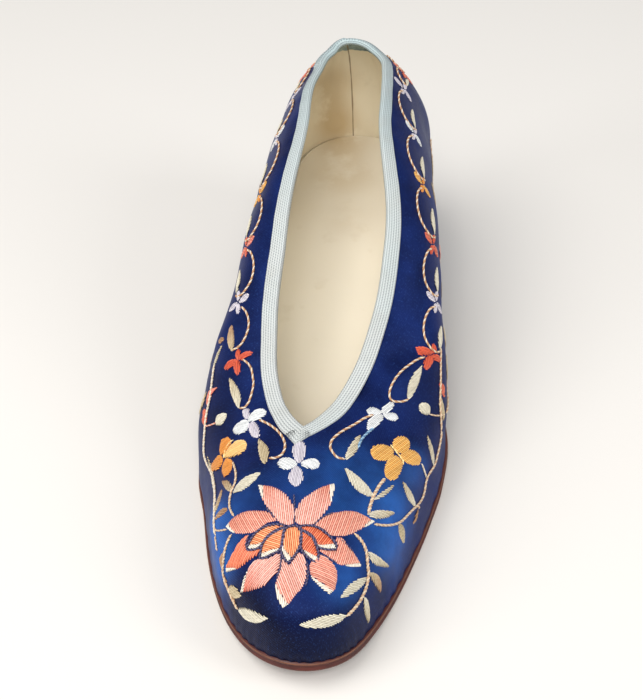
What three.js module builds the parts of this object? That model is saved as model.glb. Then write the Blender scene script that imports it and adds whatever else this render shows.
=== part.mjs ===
// A soft embroidered court shoe for the left foot: satin upper, ribbed braid round
// the collar, padded insole, leather outsole, covered heel with a leather top lift.
// Millimetres. Toe to -Y, heel to +Y, inner side of the foot to -X, floor at z = 0.
import * as THREE from 'three';
import { mergeVertices } from 'three/addons/utils/BufferGeometryUtils.js';

// Driving sizes
const LENGTH = 226;               // toe tip to back of heel
const BALL_WIDTH = 85.2;          // widest place across the ball
const VAMP_HEIGHT = 34;           // top of the vamp over the feather line, at the throat
const HEEL_RISE = 31.5;           // how far the seat is lifted over the forefoot
const TOE_SPRING = 8;             // lift of the toe tip off the floor
const SEAT_RISE = 2.5;            // further lift of the seat towards its back
const HEEL_ROUND = 0.1305 * LENGTH;
const THROAT_AT = 0.292;          // share of LENGTH from the toe to the point of the V
const WALL = 2.0;                 // satin, padding and lining together
const GAP = 0.3;                  // between pieces that are glued or sewn together
const SOLE_THICK = 3.2;           // outsole under the forefoot
const SHANK_THICK = 2.6;          // outsole under the waist and the seat
const SOLE_MARGIN = 1.5;          // how far the outsole stands out from the feather line
const INSOLE_THICK = 2.0;
const TUCK_HEIGHT = 14;           // height over which the upper draws in to the sole
const BRAID_WIDTH = 4.9;          // outer leg of the collar braid
const BRAID_INSIDE = 4.4;         // inner leg
const BRAID_THICK = 1.3;
const BRAID_GAP = 0.35;
const BRAID_RIBS = 4;
const LIFT_THICK = 5.5;           // top lift under the heel
const HEEL_BREAST_AT = 0.755;     // share of LENGTH where the heel begins
const HEEL_INSET = 1.2;           // heel top inside the edge of the outsole
const HEEL_FOOT_WIDTH = 0.70;     // width of the heel at the floor, as a share of its top
const HEEL_FOOT_BACK = 6.5;       // how far the back of the heel slants in
const HEEL_FOOT_FRONT = 5.0;      // how far the breast slants back

// Half widths of the last, as shares of BALL_WIDTH, at shares of LENGTH from the toe
const WIDTHS = [
  { at: 0.03, medial: 0.170, lateral: 0.172 },
  { at: 0.09, medial: 0.269, lateral: 0.272 },
  { at: 0.18, medial: 0.349, lateral: 0.372 },
  { at: 0.28, medial: 0.409, lateral: 0.458 },
  { at: 0.34, medial: 0.458, lateral: 0.494 },
  { at: 0.40, medial: 0.488, lateral: 0.506 },
  { at: 0.46, medial: 0.480, lateral: 0.479 },
  { at: 0.55, medial: 0.427, lateral: 0.417 },
  { at: 0.72, medial: 0.387, lateral: 0.386 },
  { at: 0.885, medial: 0.332, lateral: 0.356 },
];
// Height of the ridge of the last over the feather line, as shares of VAMP_HEIGHT
const RIDGE = [
  { at: 0.03, height: 0.506 },
  { at: 0.10, height: 0.762 },
  { at: 0.20, height: 0.990 },
  { at: 0.30, height: 1.016 },
  { at: 0.42, height: 1.145 },
  { at: 0.60, height: 1.370 },
  { at: 0.885, height: 1.555 },
];
// Fullness of each section: 2 is an ellipse, more is squarer, less is more pointed
const FULLNESS = [
  { at: 0.00, power: 2.00 },
  { at: 0.12, power: 2.20 },
  { at: 0.28, power: 2.01 },
  { at: 0.42, power: 2.38 },
  { at: 0.58, power: 2.95 },
  { at: 0.75, power: 2.02 },
  { at: 1.00, power: 2.40 },
];
// Sideways curve of the centre line, as shares of BALL_WIDTH
const SWING = [
  { at: 0.0, x: 0.011 },
  { at: 0.3, x: -0.038 },
  { at: 0.6, x: 0.034 },
  { at: 1.0, x: 0.000 },
];
// How far the feather line is drawn in under the upper, in millimetres
const TUCK = [
  { at: 0.00, by: 2.5 },
  { at: 0.15, by: 2.5 },
  { at: 0.30, by: 3.0 },
  { at: 0.42, by: 4.4 },
  { at: 0.54, by: 6.3 },
  { at: 0.65, by: 7.0 },
  { at: 0.85, by: 5.0 },
  { at: 1.00, by: 4.0 },
];
// Collar line: how far up the section it lies, 0 at the feather line, 1 on the ridge
const COLLAR = [
  { at: THROAT_AT, up: 1.000 },
  { at: THROAT_AT + 0.012, up: 0.972 },
  { at: THROAT_AT + 0.030, up: 0.929 },
  { at: THROAT_AT + 0.055, up: 0.882 },
  { at: 0.42, up: 0.830 },
  { at: 0.52, up: 0.802 },
  { at: 0.64, up: 0.789 },
  { at: 0.78, up: 0.745 },
  { at: 0.88, up: 0.722 },
  { at: 1.00, up: 0.790 },
];

// Bottom of the last: flat ball, raised toe, arch up to the seat
const BALL_FROM = 0.19;
const BALL_TO = 0.34;
const SEAT_FROM = 0.79;
const BACK_START = 1 - HEEL_ROUND / LENGTH;

const clamp = (v, lo, hi) => Math.min(hi, Math.max(lo, v));
const lerp = (a, b, t) => a + (b - a) * t;

// Smooth curve through a table, with no overshoot between its rows
function curve(xs, ys) {
  const n = xs.length;
  const h = [];
  const slope = [];
  for (let i = 0; i < n - 1; i++) {
    h.push(xs[i + 1] - xs[i]);
    slope.push((ys[i + 1] - ys[i]) / h[i]);
  }
  const end = (h0, h1, s0, s1) => {
    const d = ((2 * h0 + h1) * s0 - h0 * s1) / (h0 + h1);
    if (d * s0 <= 0) return 0;
    if (s0 * s1 <= 0 && Math.abs(d) > 3 * Math.abs(s0)) return 3 * s0;
    return d;
  };
  const d = new Array(n).fill(0);
  for (let i = 1; i < n - 1; i++) {
    if (slope[i - 1] * slope[i] > 0) {
      const a = 2 * h[i] + h[i - 1];
      const b = h[i] + 2 * h[i - 1];
      d[i] = (a + b) / (a / slope[i - 1] + b / slope[i]);
    }
  }
  d[0] = end(h[0], h[1], slope[0], slope[1]);
  d[n - 1] = end(h[n - 2], h[n - 3], slope[n - 2], slope[n - 3]);
  return (x) => {
    const v = clamp(x, xs[0], xs[n - 1]);
    let i = 0;
    while (i < n - 2 && v > xs[i + 1]) i++;
    const t = (v - xs[i]) / h[i];
    const u = 1 - t;
    return (1 + 2 * t) * u * u * ys[i] + t * u * u * h[i] * d[i]
      + t * t * (3 - 2 * t) * ys[i + 1] - t * t * u * h[i] * d[i + 1];
  };
}

// A curve of squares that starts at zero, so that the toe comes out round
function roundStart(rows, key, size) {
  const xs = [0, ...rows.map((r) => r.at), 1];
  const ys = [0, ...rows.map((r) => (r[key] * size) ** 2)];
  ys.push(ys[ys.length - 1]);
  const f = curve(xs, ys);
  return (s) => Math.sqrt(Math.max(f(s), 0));
}

const column = (rows, key, size = 1) => curve(rows.map((r) => r.at), rows.map((r) => r[key] * size));
const medialWidth = roundStart(WIDTHS, 'medial', BALL_WIDTH);
const lateralWidth = roundStart(WIDTHS, 'lateral', BALL_WIDTH);
const ridgeHeight = roundStart(RIDGE, 'height', VAMP_HEIGHT);
const fullness = column(FULLNESS, 'power');
const swing = column(SWING, 'x', BALL_WIDTH);
const tuck = column(TUCK, 'by');
const collarUp = column(COLLAR, 'up');

// Height of the feather line over the floor
function featherHeight(s) {
  const toe = clamp((BALL_FROM - s) / BALL_FROM, 0, 1);
  const arch = clamp((s - BALL_TO) / (SEAT_FROM - BALL_TO), 0, 1);
  const seat = clamp((s - SEAT_FROM) / (1 - SEAT_FROM), 0, 1);
  return SOLE_THICK + GAP + TOE_SPRING * toe ** 1.8
    + HEEL_RISE * arch * arch * (3 - 2 * arch) + SEAT_RISE * seat;
}

// Thickness of the outsole
function soleThickness(s) {
  const t = clamp((s - BALL_TO) / 0.12, 0, 1);
  return lerp(SOLE_THICK, SHANK_THICK, t * t * (3 - 2 * t));
}

// Once round the last: 0 to 1 up the inner side from the toe, 1 to 2 round the heel,
// 2 to 3 down the outer side to the toe again
const SIDE_ROOT = Math.sqrt(BACK_START);
const ringAt = (s) => Math.sqrt(s) / SIDE_ROOT;

function outline(ring) {
  const p = ((ring % 3) + 3) % 3;
  const side = p <= 1 ? p : 3 - p;
  const round = p > 1 && p < 2;
  const s = round ? BACK_START : (side * SIDE_ROOT) ** 2;
  const angle = round ? (p - 1) * Math.PI : (p <= 1 ? 0 : Math.PI);
  const half = angle < Math.PI / 2 ? medialWidth(s) : lateralWidth(s);
  const bx = swing(s);
  const by = s * LENGTH;
  return { s, bx, by, ox: bx - half * Math.cos(angle), oy: by + HEEL_ROUND * Math.sin(angle) };
}

// Outward direction in plan
function outward(ring) {
  const a = outline(ring - 1e-3);
  const b = outline(ring + 1e-3);
  const tx = b.ox - a.ox;
  const ty = b.oy - a.oy;
  const l = Math.hypot(tx, ty);
  return [-ty / l, tx / l];
}

// Outer face of the upper: ring goes round the last, up goes from sole to ridge
function skin(ring, up) {
  const o = outline(ring);
  const n = outward(ring);
  const k = 2 / fullness(o.oy / LENGTH);
  const c = Math.cos(up * Math.PI / 2) ** k;
  const h = Math.sin(up * Math.PI / 2) ** k * ridgeHeight(o.s);
  const pull = tuck(o.oy / LENGTH) * Math.exp(-((h / TUCK_HEIGHT) ** 2));
  const w = up * up;
  const x = o.bx + (o.ox - o.bx) * c - pull * n[0] * (1 - w);
  const y = o.by + (o.oy - o.by) * c - pull * (n[1] * (1 - w) - w);
  return new THREE.Vector3(x, y, featherHeight(o.oy / LENGTH) + h);
}

// Outward direction of that face
function skinNormal(ring, up) {
  const e = 1e-3;
  if (outline(ring).s < 1e-6) return new THREE.Vector3(0, -1, 0);
  const along = skin(ring + e, up).sub(skin(ring - e, up));
  if (up > 0.9995) {
    return new THREE.Vector3(0, -along.z, along.y).normalize().multiplyScalar(Math.sign(along.y));
  }
  const rise = skin(ring, Math.min(up + e, 1)).sub(skin(ring, Math.max(up - e, 0)));
  return rise.cross(along).normalize();
}

const feather = (ring, out = 0) => {
  const o = outline(ring);
  const n = outward(ring);
  const d = out - tuck(o.oy / LENGTH);
  return { x: o.ox + n[0] * d, y: o.oy + n[1] * d, s: o.oy / LENGTH };
};

// Inner face of the upper, one wall inside the outer face
function lining(ring, up, depth = WALL) {
  if (up > 1e-6) return skin(ring, up).addScaledVector(skinNormal(ring, up), -depth);
  const f = feather(ring, -depth);
  return new THREE.Vector3(f.x, f.y, featherHeight(f.s === 0 ? 0 : outline(ring).oy / LENGTH));
}

// Columns of the mesh round the shoe, closer together at the toe and the throat
const FRONT = [0.004, 0.012, 0.024, 0.04, 0.058, 0.078, 0.1, 0.123, 0.147, 0.171, 0.195, 0.218, 0.24];
const V_SHARES = [0, 0.008, 0.018, 0.03, 0.045, 0.062, 0.082, 0.105];
const FRONT_STEP = THROAT_AT / 0.262;
const REAR_COLUMNS = 20;
const HEEL_COLUMNS = 15;

function columns() {
  const sides = [...FRONT.map((v) => v * FRONT_STEP), ...V_SHARES.map((v) => THROAT_AT + v)];
  const from = sides[sides.length - 1];
  for (let i = 1; i <= REAR_COLUMNS; i++) sides.push(lerp(from, BACK_START, i / REAR_COLUMNS));
  const rings = sides.map(ringAt);
  const heel = [];
  for (let i = 1; i <= HEEL_COLUMNS; i++) heel.push(1 + i / (HEEL_COLUMNS + 1));
  return [0, ...rings, ...heel, ...rings.slice().reverse().map((r) => 3 - r)];
}

const RINGS = columns();
const THROAT_COLUMN = 1 + FRONT.length;
const LAST_COLLAR = RINGS.length - THROAT_COLUMN;

// Collects triangles; ones with no area are left out
class Shell {
  constructor() {
    this.points = [];
  }

  tri(a, b, c) {
    const size = b.clone().sub(a).cross(c.clone().sub(a)).length();
    if (size > 1e-9) this.points.push(a.x, a.y, a.z, b.x, b.y, b.z, c.x, c.y, c.z);
  }

  quad(a, b, c, d) {
    this.tri(a, b, c);
    this.tri(a, c, d);
  }

  mesh(name, material) {
    const g = new THREE.BufferGeometry();
    g.setAttribute('position', new THREE.Float32BufferAttribute(this.points, 3));
    const m = new THREE.Mesh(mergeVertices(g, 1e-4), material);
    m.geometry.computeVertexNormals();
    m.name = name;
    return m;
  }
}

// A solid made of rings of points, closed at both ends by strips from side to side.
// Point 0 and the point halfway round lie on the centre line.
function loft(rings) {
  const shell = new Shell();
  const n = rings[0].length;
  for (let k = 0; k < rings.length - 1; k++) {
    for (let i = 0; i < n; i++) {
      const j = (i + 1) % n;
      shell.quad(rings[k][j], rings[k][i], rings[k + 1][i], rings[k + 1][j]);
    }
  }
  for (let i = 0; i < n / 2; i++) {
    const a = i;
    const b = i + 1;
    const c = (n - i - 1) % n;
    const d = (n - i) % n;
    const low = rings[0];
    const top = rings[rings.length - 1];
    shell.quad(low[a], low[b], low[c], low[d]);
    shell.quad(top[a], top[d], top[c], top[b]);
  }
  return shell;
}

// Upper: one hollow solid, open at the collar and underneath
const ROWS = 10;

function upperShell() {
  const shell = new Shell();
  const outer = [];
  const inner = [];
  RINGS.forEach((ring, i) => {
    const collar = i >= THROAT_COLUMN && i <= LAST_COLLAR;
    const top = collar ? collarUp(outline(ring).oy / LENGTH) : 1;
    const a = [];
    const b = [];
    for (let r = 0; r <= ROWS; r++) {
      a.push(skin(ring, top * r / ROWS));
      b.push(lining(ring, top * r / ROWS));
    }
    outer.push(a);
    inner.push(b);
  });
  const n = RINGS.length;
  for (let i = 0; i < n; i++) {
    const j = (i + 1) % n;
    for (let r = 0; r < ROWS; r++) {
      shell.quad(outer[i][r], outer[i][r + 1], outer[j][r + 1], outer[j][r]);
      shell.quad(inner[i][r], inner[j][r], inner[j][r + 1], inner[i][r + 1]);
    }
    shell.quad(outer[i][0], outer[j][0], inner[j][0], inner[i][0]);
    if (i >= THROAT_COLUMN && i < LAST_COLLAR) {
      shell.quad(outer[i][ROWS], inner[i][ROWS], inner[j][ROWS], outer[j][ROWS]);
    }
  }
  return shell;
}

// Ring and height share of the place on the outer face that is nearest to a point
function nearest(point, ring, up) {
  let p = ring;
  let u = up;
  const e = 1e-4;
  for (let k = 0; k < 8; k++) {
    const q = skin(p, u);
    const dp = skin(p + e, u).sub(q).divideScalar(e);
    const du = skin(p, u - e).sub(q).divideScalar(-e);
    const r = point.clone().sub(q);
    const a = dp.dot(dp);
    const b = dp.dot(du);
    const c = du.dot(du);
    const det = a * c - b * b;
    p += clamp((c * dp.dot(r) - b * du.dot(r)) / det, -0.1, 0.1);
    u = clamp(u + clamp((a * du.dot(r) - b * dp.dot(r)) / det, -0.1, 0.1), 0.02, 0.9999);
  }
  return [p, u];
}

// Points across the braid: along is measured down from the edge of the collar,
// rise is measured out from the outer face of the upper
function braidSection() {
  const g = BRAID_GAP;
  const rib = BRAID_WIDTH / BRAID_RIBS;
  const inside = -(WALL + g);
  const rows = [];
  rows.push({ along: BRAID_WIDTH, rise: g }, { along: BRAID_WIDTH, rise: g + 0.55 * BRAID_THICK });
  for (let k = BRAID_RIBS; k > 0; k--) {
    rows.push({ along: (k - 0.5) * rib, rise: g + BRAID_THICK });
    if (k > 1) rows.push({ along: (k - 1) * rib, rise: g + 0.72 * BRAID_THICK });
  }
  rows.push({ along: -0.25 * BRAID_THICK, rise: g + 0.85 * BRAID_THICK });
  rows.push({ along: -g - 0.75 * BRAID_THICK, rise: 0.1 * WALL });
  rows.push({ along: -g - 0.9 * BRAID_THICK, rise: -0.5 * WALL });
  rows.push({ along: -g - 0.7 * BRAID_THICK, rise: -1.1 * WALL });
  rows.push({ along: 0, rise: inside - 0.65 * BRAID_THICK });
  rows.push({ along: 0.5 * BRAID_INSIDE, rise: inside - 0.6 * BRAID_THICK });
  rows.push({ along: BRAID_INSIDE, rise: inside - 0.5 * BRAID_THICK });
  rows.push({ along: BRAID_INSIDE, rise: inside }, { along: 0.5 * BRAID_INSIDE, rise: inside });
  rows.push({ along: -g, rise: inside }, { along: -g, rise: g }, { along: 0.5 * BRAID_WIDTH, rise: g });
  return rows;
}

function collarPoint(ring) {
  const up = collarUp(outline(ring).oy / LENGTH);
  return { ring, up, at: skin(ring, up) };
}

// Braid: folded over the edge of the collar, mitred at the point of the V
function braidShell() {
  const rows = braidSection();
  const tip = RINGS[THROAT_COLUMN];
  const tipAt = skin(tip, 1);
  const next = collarPoint(RINGS[THROAT_COLUMN + 2]).at;
  const spread = Math.hypot(next.x - tipAt.x, next.y - tipAt.y) / Math.abs(next.x - tipAt.x);
  const sections = [];
  for (let i = THROAT_COLUMN; i < LAST_COLLAR; i++) {
    const c = collarPoint(RINGS[i]);
    const mitre = i === THROAT_COLUMN;
    const normal = skinNormal(c.ring, mitre ? 1 : c.up);
    const run = collarPoint(c.ring + 2e-3).at.sub(collarPoint(c.ring - (mitre ? 0 : 2e-3)).at);
    const down = mitre ? new THREE.Vector3(0, -1, 0) : normal.clone().cross(run).normalize();
    sections.push(rows.map((row) => {
      const reach = row.along * (mitre ? spread : 1);
      let foot = c.at.clone().addScaledVector(down, reach);
      let out = normal;
      if (row.along > 0 && mitre) {
        const ring = ringAt((tipAt.y - reach) / LENGTH);
        foot = skin(ring, 1);
        out = skinNormal(ring, 1);
      } else if (row.along > 0) {
        const [p, u] = nearest(foot, c.ring, c.up);
        foot = skin(p, u);
        out = skinNormal(p, u);
      }
      return foot.clone().addScaledVector(out, row.rise);
    }));
  }
  const shell = new Shell();
  const n = sections.length;
  const m = rows.length;
  for (let i = 0; i < n; i++) {
    const j = (i + 1) % n;
    for (let k = 0; k < m; k++) {
      const l = (k + 1) % m;
      shell.quad(sections[i][k], sections[i][l], sections[j][l], sections[j][k]);
    }
  }
  return shell;
}

// One closed ring of points at a distance out from the feather line
function plateRing(out, height) {
  return RINGS.map((ring) => {
    const f = feather(ring, out);
    const s = outline(ring).oy / LENGTH;
    return new THREE.Vector3(f.x, f.y, height(s));
  });
}

function outsoleShell() {
  const top = (s) => featherHeight(s) - GAP;
  const low = (s) => top(s) - soleThickness(s);
  const m = SOLE_MARGIN;
  return loft([
    plateRing(m - 0.5, low),
    plateRing(m, (s) => low(s) + 0.5),
    plateRing(m, (s) => low(s) + 1.0),
    plateRing(m - 0.35, (s) => low(s) + 1.3),
    plateRing(m - 0.35, (s) => top(s) - 0.8),
    plateRing(m, (s) => top(s) - 0.5),
    plateRing(m - 0.2, top),
  ]);
}

function insoleShell() {
  const edge = -(WALL + GAP);
  return loft([
    plateRing(edge, featherHeight),
    plateRing(edge, (s) => featherHeight(s) + 0.6 * INSOLE_THICK),
    plateRing(edge - 0.8, (s) => featherHeight(s) + INSOLE_THICK),
  ]);
}

// Plan of the heel: 0 is its top under the outsole, 1 is its foot on the top lift
function heelPlan(share) {
  const start = ringAt(HEEL_BREAST_AT);
  const rings = [];
  const sideColumns = 6;
  const roundColumns = 15;
  for (let i = 0; i < sideColumns; i++) rings.push(lerp(start, 1, i / sideColumns));
  for (let i = 0; i <= roundColumns + 1; i++) rings.push(1 + i / (roundColumns + 1));
  for (let i = sideColumns - 1; i >= 0; i--) rings.push(3 - lerp(start, 1, i / sideColumns));
  const edge = rings.map((r) => feather(r, SOLE_MARGIN - HEEL_INSET));
  const front = edge[0];
  const frontLast = edge[edge.length - 1];
  edge.unshift({ x: (front.x + frontLast.x) / 2, y: front.y + 1.5, s: front.s });
  const back = Math.max(...edge.map((e) => e.y));
  const middle = (front.x + frontLast.x) / 2;
  const waist = 1 - (1 - share) ** 1.7;
  return edge.map((e) => {
    const deep = clamp((e.y - front.y) / (back - front.y), 0, 1);
    const shift = lerp(HEEL_FOOT_FRONT, -HEEL_FOOT_BACK, deep);
    const x = middle + (e.x - middle) * lerp(1, HEEL_FOOT_WIDTH, waist);
    return { x, y: e.y + shift * waist, rest: e.y };
  });
}

function heelShell() {
  const under = (y) => featherHeight(clamp(y / LENGTH, 0, 1)) - 2 * GAP - SHANK_THICK;
  const foot = LIFT_THICK + GAP;
  const shares = [1, 0.85, 0.65, 0.45, 0.27, 0.12, 0];
  return loft(shares.map((share) => heelPlan(share).map((e) => {
    const top = under(e.rest + 0.6);
    return new THREE.Vector3(e.x, e.y, lerp(top, foot, share));
  })));
}

function liftShell() {
  const plan = heelPlan(1);
  const middle = plan[0].x;
  const centre = (plan[0].y + Math.max(...plan.map((e) => e.y))) / 2;
  const ring = (grow, z) => plan.map((e) => new THREE.Vector3(
    middle + (e.x - middle) * grow, centre + (e.y - centre) * grow, z));
  return loft([ring(0.97, 0), ring(0.995, 0.6), ring(1.0, LIFT_THICK - 0.4), ring(0.99, LIFT_THICK)]);
}

const paint = (name, color, roughness) => new THREE.MeshStandardMaterial({ name, color, roughness });
const satin = paint('navy_satin', 0x16264f, 0.45);
const braid = paint('ice_braid', 0xc3d3dc, 0.7);
const sock = paint('cream_sock', 0xe3dac4, 0.85);
const leather = paint('brown_leather', 0x5a3426, 0.6);

const group = new THREE.Group();
group.name = 'embroidered_heeled_shoe';
group.add(upperShell().mesh('upper', satin));
group.add(braidShell().mesh('collar_braid', braid));
group.add(insoleShell().mesh('insole', sock));
group.add(outsoleShell().mesh('outsole', leather));
group.add(heelShell().mesh('heel', satin));
group.add(liftShell().mesh('heel_top_lift', leather));

// The origin is on the floor, under the middle of the shoe
const extent = new THREE.Box3().setFromObject(group);
group.position.set(-(extent.min.x + extent.max.x) / 2, -(extent.min.y + extent.max.y) / 2, 0);

export default group;
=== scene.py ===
import math
import bmesh
import bpy
import numpy as np
from mathutils import Matrix, Vector


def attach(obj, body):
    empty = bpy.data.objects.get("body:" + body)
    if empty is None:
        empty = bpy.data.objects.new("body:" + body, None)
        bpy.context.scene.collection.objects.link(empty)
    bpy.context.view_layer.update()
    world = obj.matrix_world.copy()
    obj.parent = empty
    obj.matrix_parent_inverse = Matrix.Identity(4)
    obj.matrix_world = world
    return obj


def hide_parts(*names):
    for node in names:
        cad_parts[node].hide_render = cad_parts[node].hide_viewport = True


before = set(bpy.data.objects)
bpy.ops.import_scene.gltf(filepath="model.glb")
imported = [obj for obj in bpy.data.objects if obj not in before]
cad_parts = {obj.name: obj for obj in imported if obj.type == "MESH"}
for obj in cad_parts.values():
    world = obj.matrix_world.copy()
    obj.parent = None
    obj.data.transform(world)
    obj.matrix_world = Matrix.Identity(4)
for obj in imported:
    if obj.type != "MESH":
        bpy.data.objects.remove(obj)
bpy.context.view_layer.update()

# Embroidered court shoe for the left foot. All shapes are worked out in millimetres with
# the toe tip at y = 0, then moved to the frame of the part, whose origin is on the floor
# under the middle of the shoe.
TO_ROW = np.array([1.0644, -112.6409, 0.0])
# The worn collar has settled at the heel, inwards on both sides and down: how far, at what
# distance from the toe, over what length; in full at this height and this far from the middle
HEEL_LEAN = (4.2, 214.0, 15.0)
TURN_LEAN = (2.8, 197.0, 10.0)
OUTER_LEAN = (2.0, 212.0, 20.0)
HEEL_DROP = (2.3, 222.0, 20.0)
SETTLED_AT = 50.0
HEEL_HALF = 22.0

# The shoe's own sizes, as in its solids
LENGTH = 226.0
BALL_WIDTH = 85.2
VAMP_HEIGHT = 34.0
HEEL_RISE = 31.5
TOE_SPRING = 8.0
SEAT_RISE = 2.5
HEEL_ROUND = 0.1305 * LENGTH
THROAT_AT = 0.292
GAP = 0.3
SOLE_THICK = 3.2
SHANK_THICK = 2.6
SOLE_MARGIN = 1.5
INSOLE_THICK = 2.0
TUCK_HEIGHT = 14.0
BRAID_WIDTH = 4.9
LIFT_THICK = 5.5
HEEL_BREAST_AT = 0.755
HEEL_INSET = 1.2
HEEL_FOOT_WIDTH = 0.70
HEEL_FOOT_BACK = 6.5
HEEL_FOOT_FRONT = 5.0
BALL_FROM = 0.19
BALL_TO = 0.34
SEAT_FROM = 0.79
BACK_START = 1 - HEEL_ROUND / LENGTH
SIDE_ROOT = math.sqrt(BACK_START)

# Tables of the last: share of the length from the toe, then the value there
MEDIAL = [(0.03, 0.170), (0.09, 0.269), (0.18, 0.349), (0.28, 0.409), (0.34, 0.458),
          (0.40, 0.488), (0.46, 0.480), (0.55, 0.427), (0.72, 0.387), (0.885, 0.332)]
LATERAL = [(0.03, 0.172), (0.09, 0.272), (0.18, 0.372), (0.28, 0.458), (0.34, 0.494),
           (0.40, 0.506), (0.46, 0.479), (0.55, 0.417), (0.72, 0.386), (0.885, 0.356)]
RIDGE = [(0.03, 0.506), (0.10, 0.762), (0.20, 0.990), (0.30, 1.016), (0.42, 1.145),
         (0.60, 1.370), (0.885, 1.555)]
FULLNESS = [(0.00, 2.00), (0.12, 2.20), (0.28, 2.01), (0.42, 2.38), (0.58, 2.95),
            (0.75, 2.02), (1.00, 2.40)]
SWING = [(0.0, 0.011), (0.3, -0.038), (0.6, 0.034), (1.0, 0.000)]
TUCK = [(0.00, 2.5), (0.15, 2.5), (0.30, 3.0), (0.42, 4.4), (0.54, 6.3), (0.65, 7.0),
        (0.85, 5.0), (1.00, 4.0)]
COLLAR = [(THROAT_AT, 1.000), (THROAT_AT + 0.010, 0.962), (THROAT_AT + 0.026, 0.920),
          (THROAT_AT + 0.052, 0.878), (0.42, 0.830), (0.52, 0.802), (0.64, 0.789),
          (0.78, 0.745), (0.88, 0.718), (1.00, 0.774)]


def curve(rows):
    """Smooth curve through a table, with no overshoot between its rows."""
    xs, ys = (np.array(v, float) for v in zip(*rows))
    h = np.diff(xs)
    slope = np.diff(ys) / h
    d = np.zeros(len(xs))
    for i in range(1, len(xs) - 1):
        if slope[i - 1] * slope[i] > 0:
            a, b = 2 * h[i] + h[i - 1], h[i] + 2 * h[i - 1]
            d[i] = (a + b) / (a / slope[i - 1] + b / slope[i])
    ends = ((0, h[0], h[1], slope[0], slope[1]), (-1, h[-1], h[-2], slope[-1], slope[-2]))
    for at, h0, h1, s0, s1 in ends:
        e = ((2 * h0 + h1) * s0 - h0 * s1) / (h0 + h1)
        if e * s0 <= 0:
            e = 0.0
        elif s0 * s1 <= 0 and abs(e) > 3 * abs(s0):
            e = 3 * s0
        d[at] = e

    def at(x):
        v = np.clip(x, xs[0], xs[-1])
        i = np.clip(np.searchsorted(xs, v) - 1, 0, len(xs) - 2)
        t = (v - xs[i]) / h[i]
        u = 1 - t
        return ((1 + 2 * t) * u * u * ys[i] + t * u * u * h[i] * d[i]
                + t * t * (3 - 2 * t) * ys[i + 1] - t * t * u * h[i] * d[i + 1])
    return at


def round_start(rows, size):
    """A curve of squares that starts at zero, so that the toe comes out round."""
    squares = [(0.0, 0.0)] + [(s, (v * size) ** 2) for s, v in rows]
    f = curve(squares + [(1.0, squares[-1][1])])
    return lambda s: np.sqrt(np.maximum(f(s), 0))


medial_width = round_start(MEDIAL, BALL_WIDTH)
lateral_width = round_start(LATERAL, BALL_WIDTH)
ridge_height = round_start(RIDGE, VAMP_HEIGHT)
fullness = curve(FULLNESS)
swing_share = curve(SWING)
tuck = curve(TUCK)
collar_up = curve(COLLAR)


def feather_height(s):
    """Height of the feather line over the floor."""
    toe = np.clip((BALL_FROM - s) / BALL_FROM, 0, 1)
    arch = np.clip((s - BALL_TO) / (SEAT_FROM - BALL_TO), 0, 1)
    seat = np.clip((s - SEAT_FROM) / (1 - SEAT_FROM), 0, 1)
    return (SOLE_THICK + GAP + TOE_SPRING * toe ** 1.8
            + HEEL_RISE * arch * arch * (3 - 2 * arch) + SEAT_RISE * seat)


def sole_thickness(s):
    t = np.clip((s - BALL_TO) / 0.12, 0, 1)
    return SOLE_THICK + (SHANK_THICK - SOLE_THICK) * t * t * (3 - 2 * t)


def ring_at(s):
    return np.sqrt(s) / SIDE_ROOT


def outline(ring):
    """Plan of the last. ring: 0 to 1 up the inner side, 1 to 2 round the heel, 2 to 3 back."""
    p = np.mod(ring, 3.0)
    side = np.where(p <= 1, p, 3 - p)
    rear = (p > 1) & (p < 2)
    s = np.where(rear, BACK_START, (side * SIDE_ROOT) ** 2)
    angle = np.where(rear, (p - 1) * np.pi, np.where(p <= 1, 0.0, np.pi))
    half = np.where(angle < np.pi / 2, medial_width(s), lateral_width(s))
    bx = BALL_WIDTH * swing_share(s)
    by = s * LENGTH
    return s, bx, by, bx - half * np.cos(angle), by + HEEL_ROUND * np.sin(angle)


def outward(ring):
    _, _, _, ax, ay = outline(ring - 1e-3)
    _, _, _, bx, by = outline(ring + 1e-3)
    tx, ty = bx - ax, by - ay
    size = np.hypot(tx, ty)
    return -ty / size, tx / size


def settled(row, y):
    far, at, reach = row
    return far * np.exp(-((y - at) / reach) ** 2)


def skin(ring, up):
    """Outer face of the upper: up goes from the sole, 0, to the ridge of the last, 1."""
    ring, up = np.broadcast_arrays(np.asarray(ring, float), np.asarray(up, float))
    s, bx, by, ox, oy = outline(ring)
    nx, ny = outward(ring)
    y = oy / LENGTH
    k = 2 / fullness(y)
    c = np.cos(up * np.pi / 2).clip(0) ** k
    h = np.sin(up * np.pi / 2).clip(0) ** k * ridge_height(s)
    pull = tuck(y) * np.exp(-((h / TUCK_HEIGHT) ** 2))
    w = up * up
    high = (h / SETTLED_AT) ** 2
    lean = (settled(HEEL_LEAN, oy) + settled(TURN_LEAN, oy)) * high * np.clip((bx - ox) / HEEL_HALF, 0, 1)
    lean = lean - settled(OUTER_LEAN, oy) * high * np.clip((ox - bx) / HEEL_HALF, 0, 1)
    drop = settled(HEEL_DROP, oy) * high
    return np.stack([bx + (ox - bx) * c - pull * nx * (1 - w) + lean,
                     by + (oy - by) * c - pull * (ny * (1 - w) - w),
                     feather_height(y) + h - drop], -1)


def unit(v):
    return v / np.maximum(np.linalg.norm(v, axis=-1, keepdims=True), 1e-12)


def run_of(points):
    """Length along a line of points, from its first."""
    return np.concatenate([[0], np.cumsum(np.linalg.norm(np.diff(points, axis=0), axis=-1))])


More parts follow.
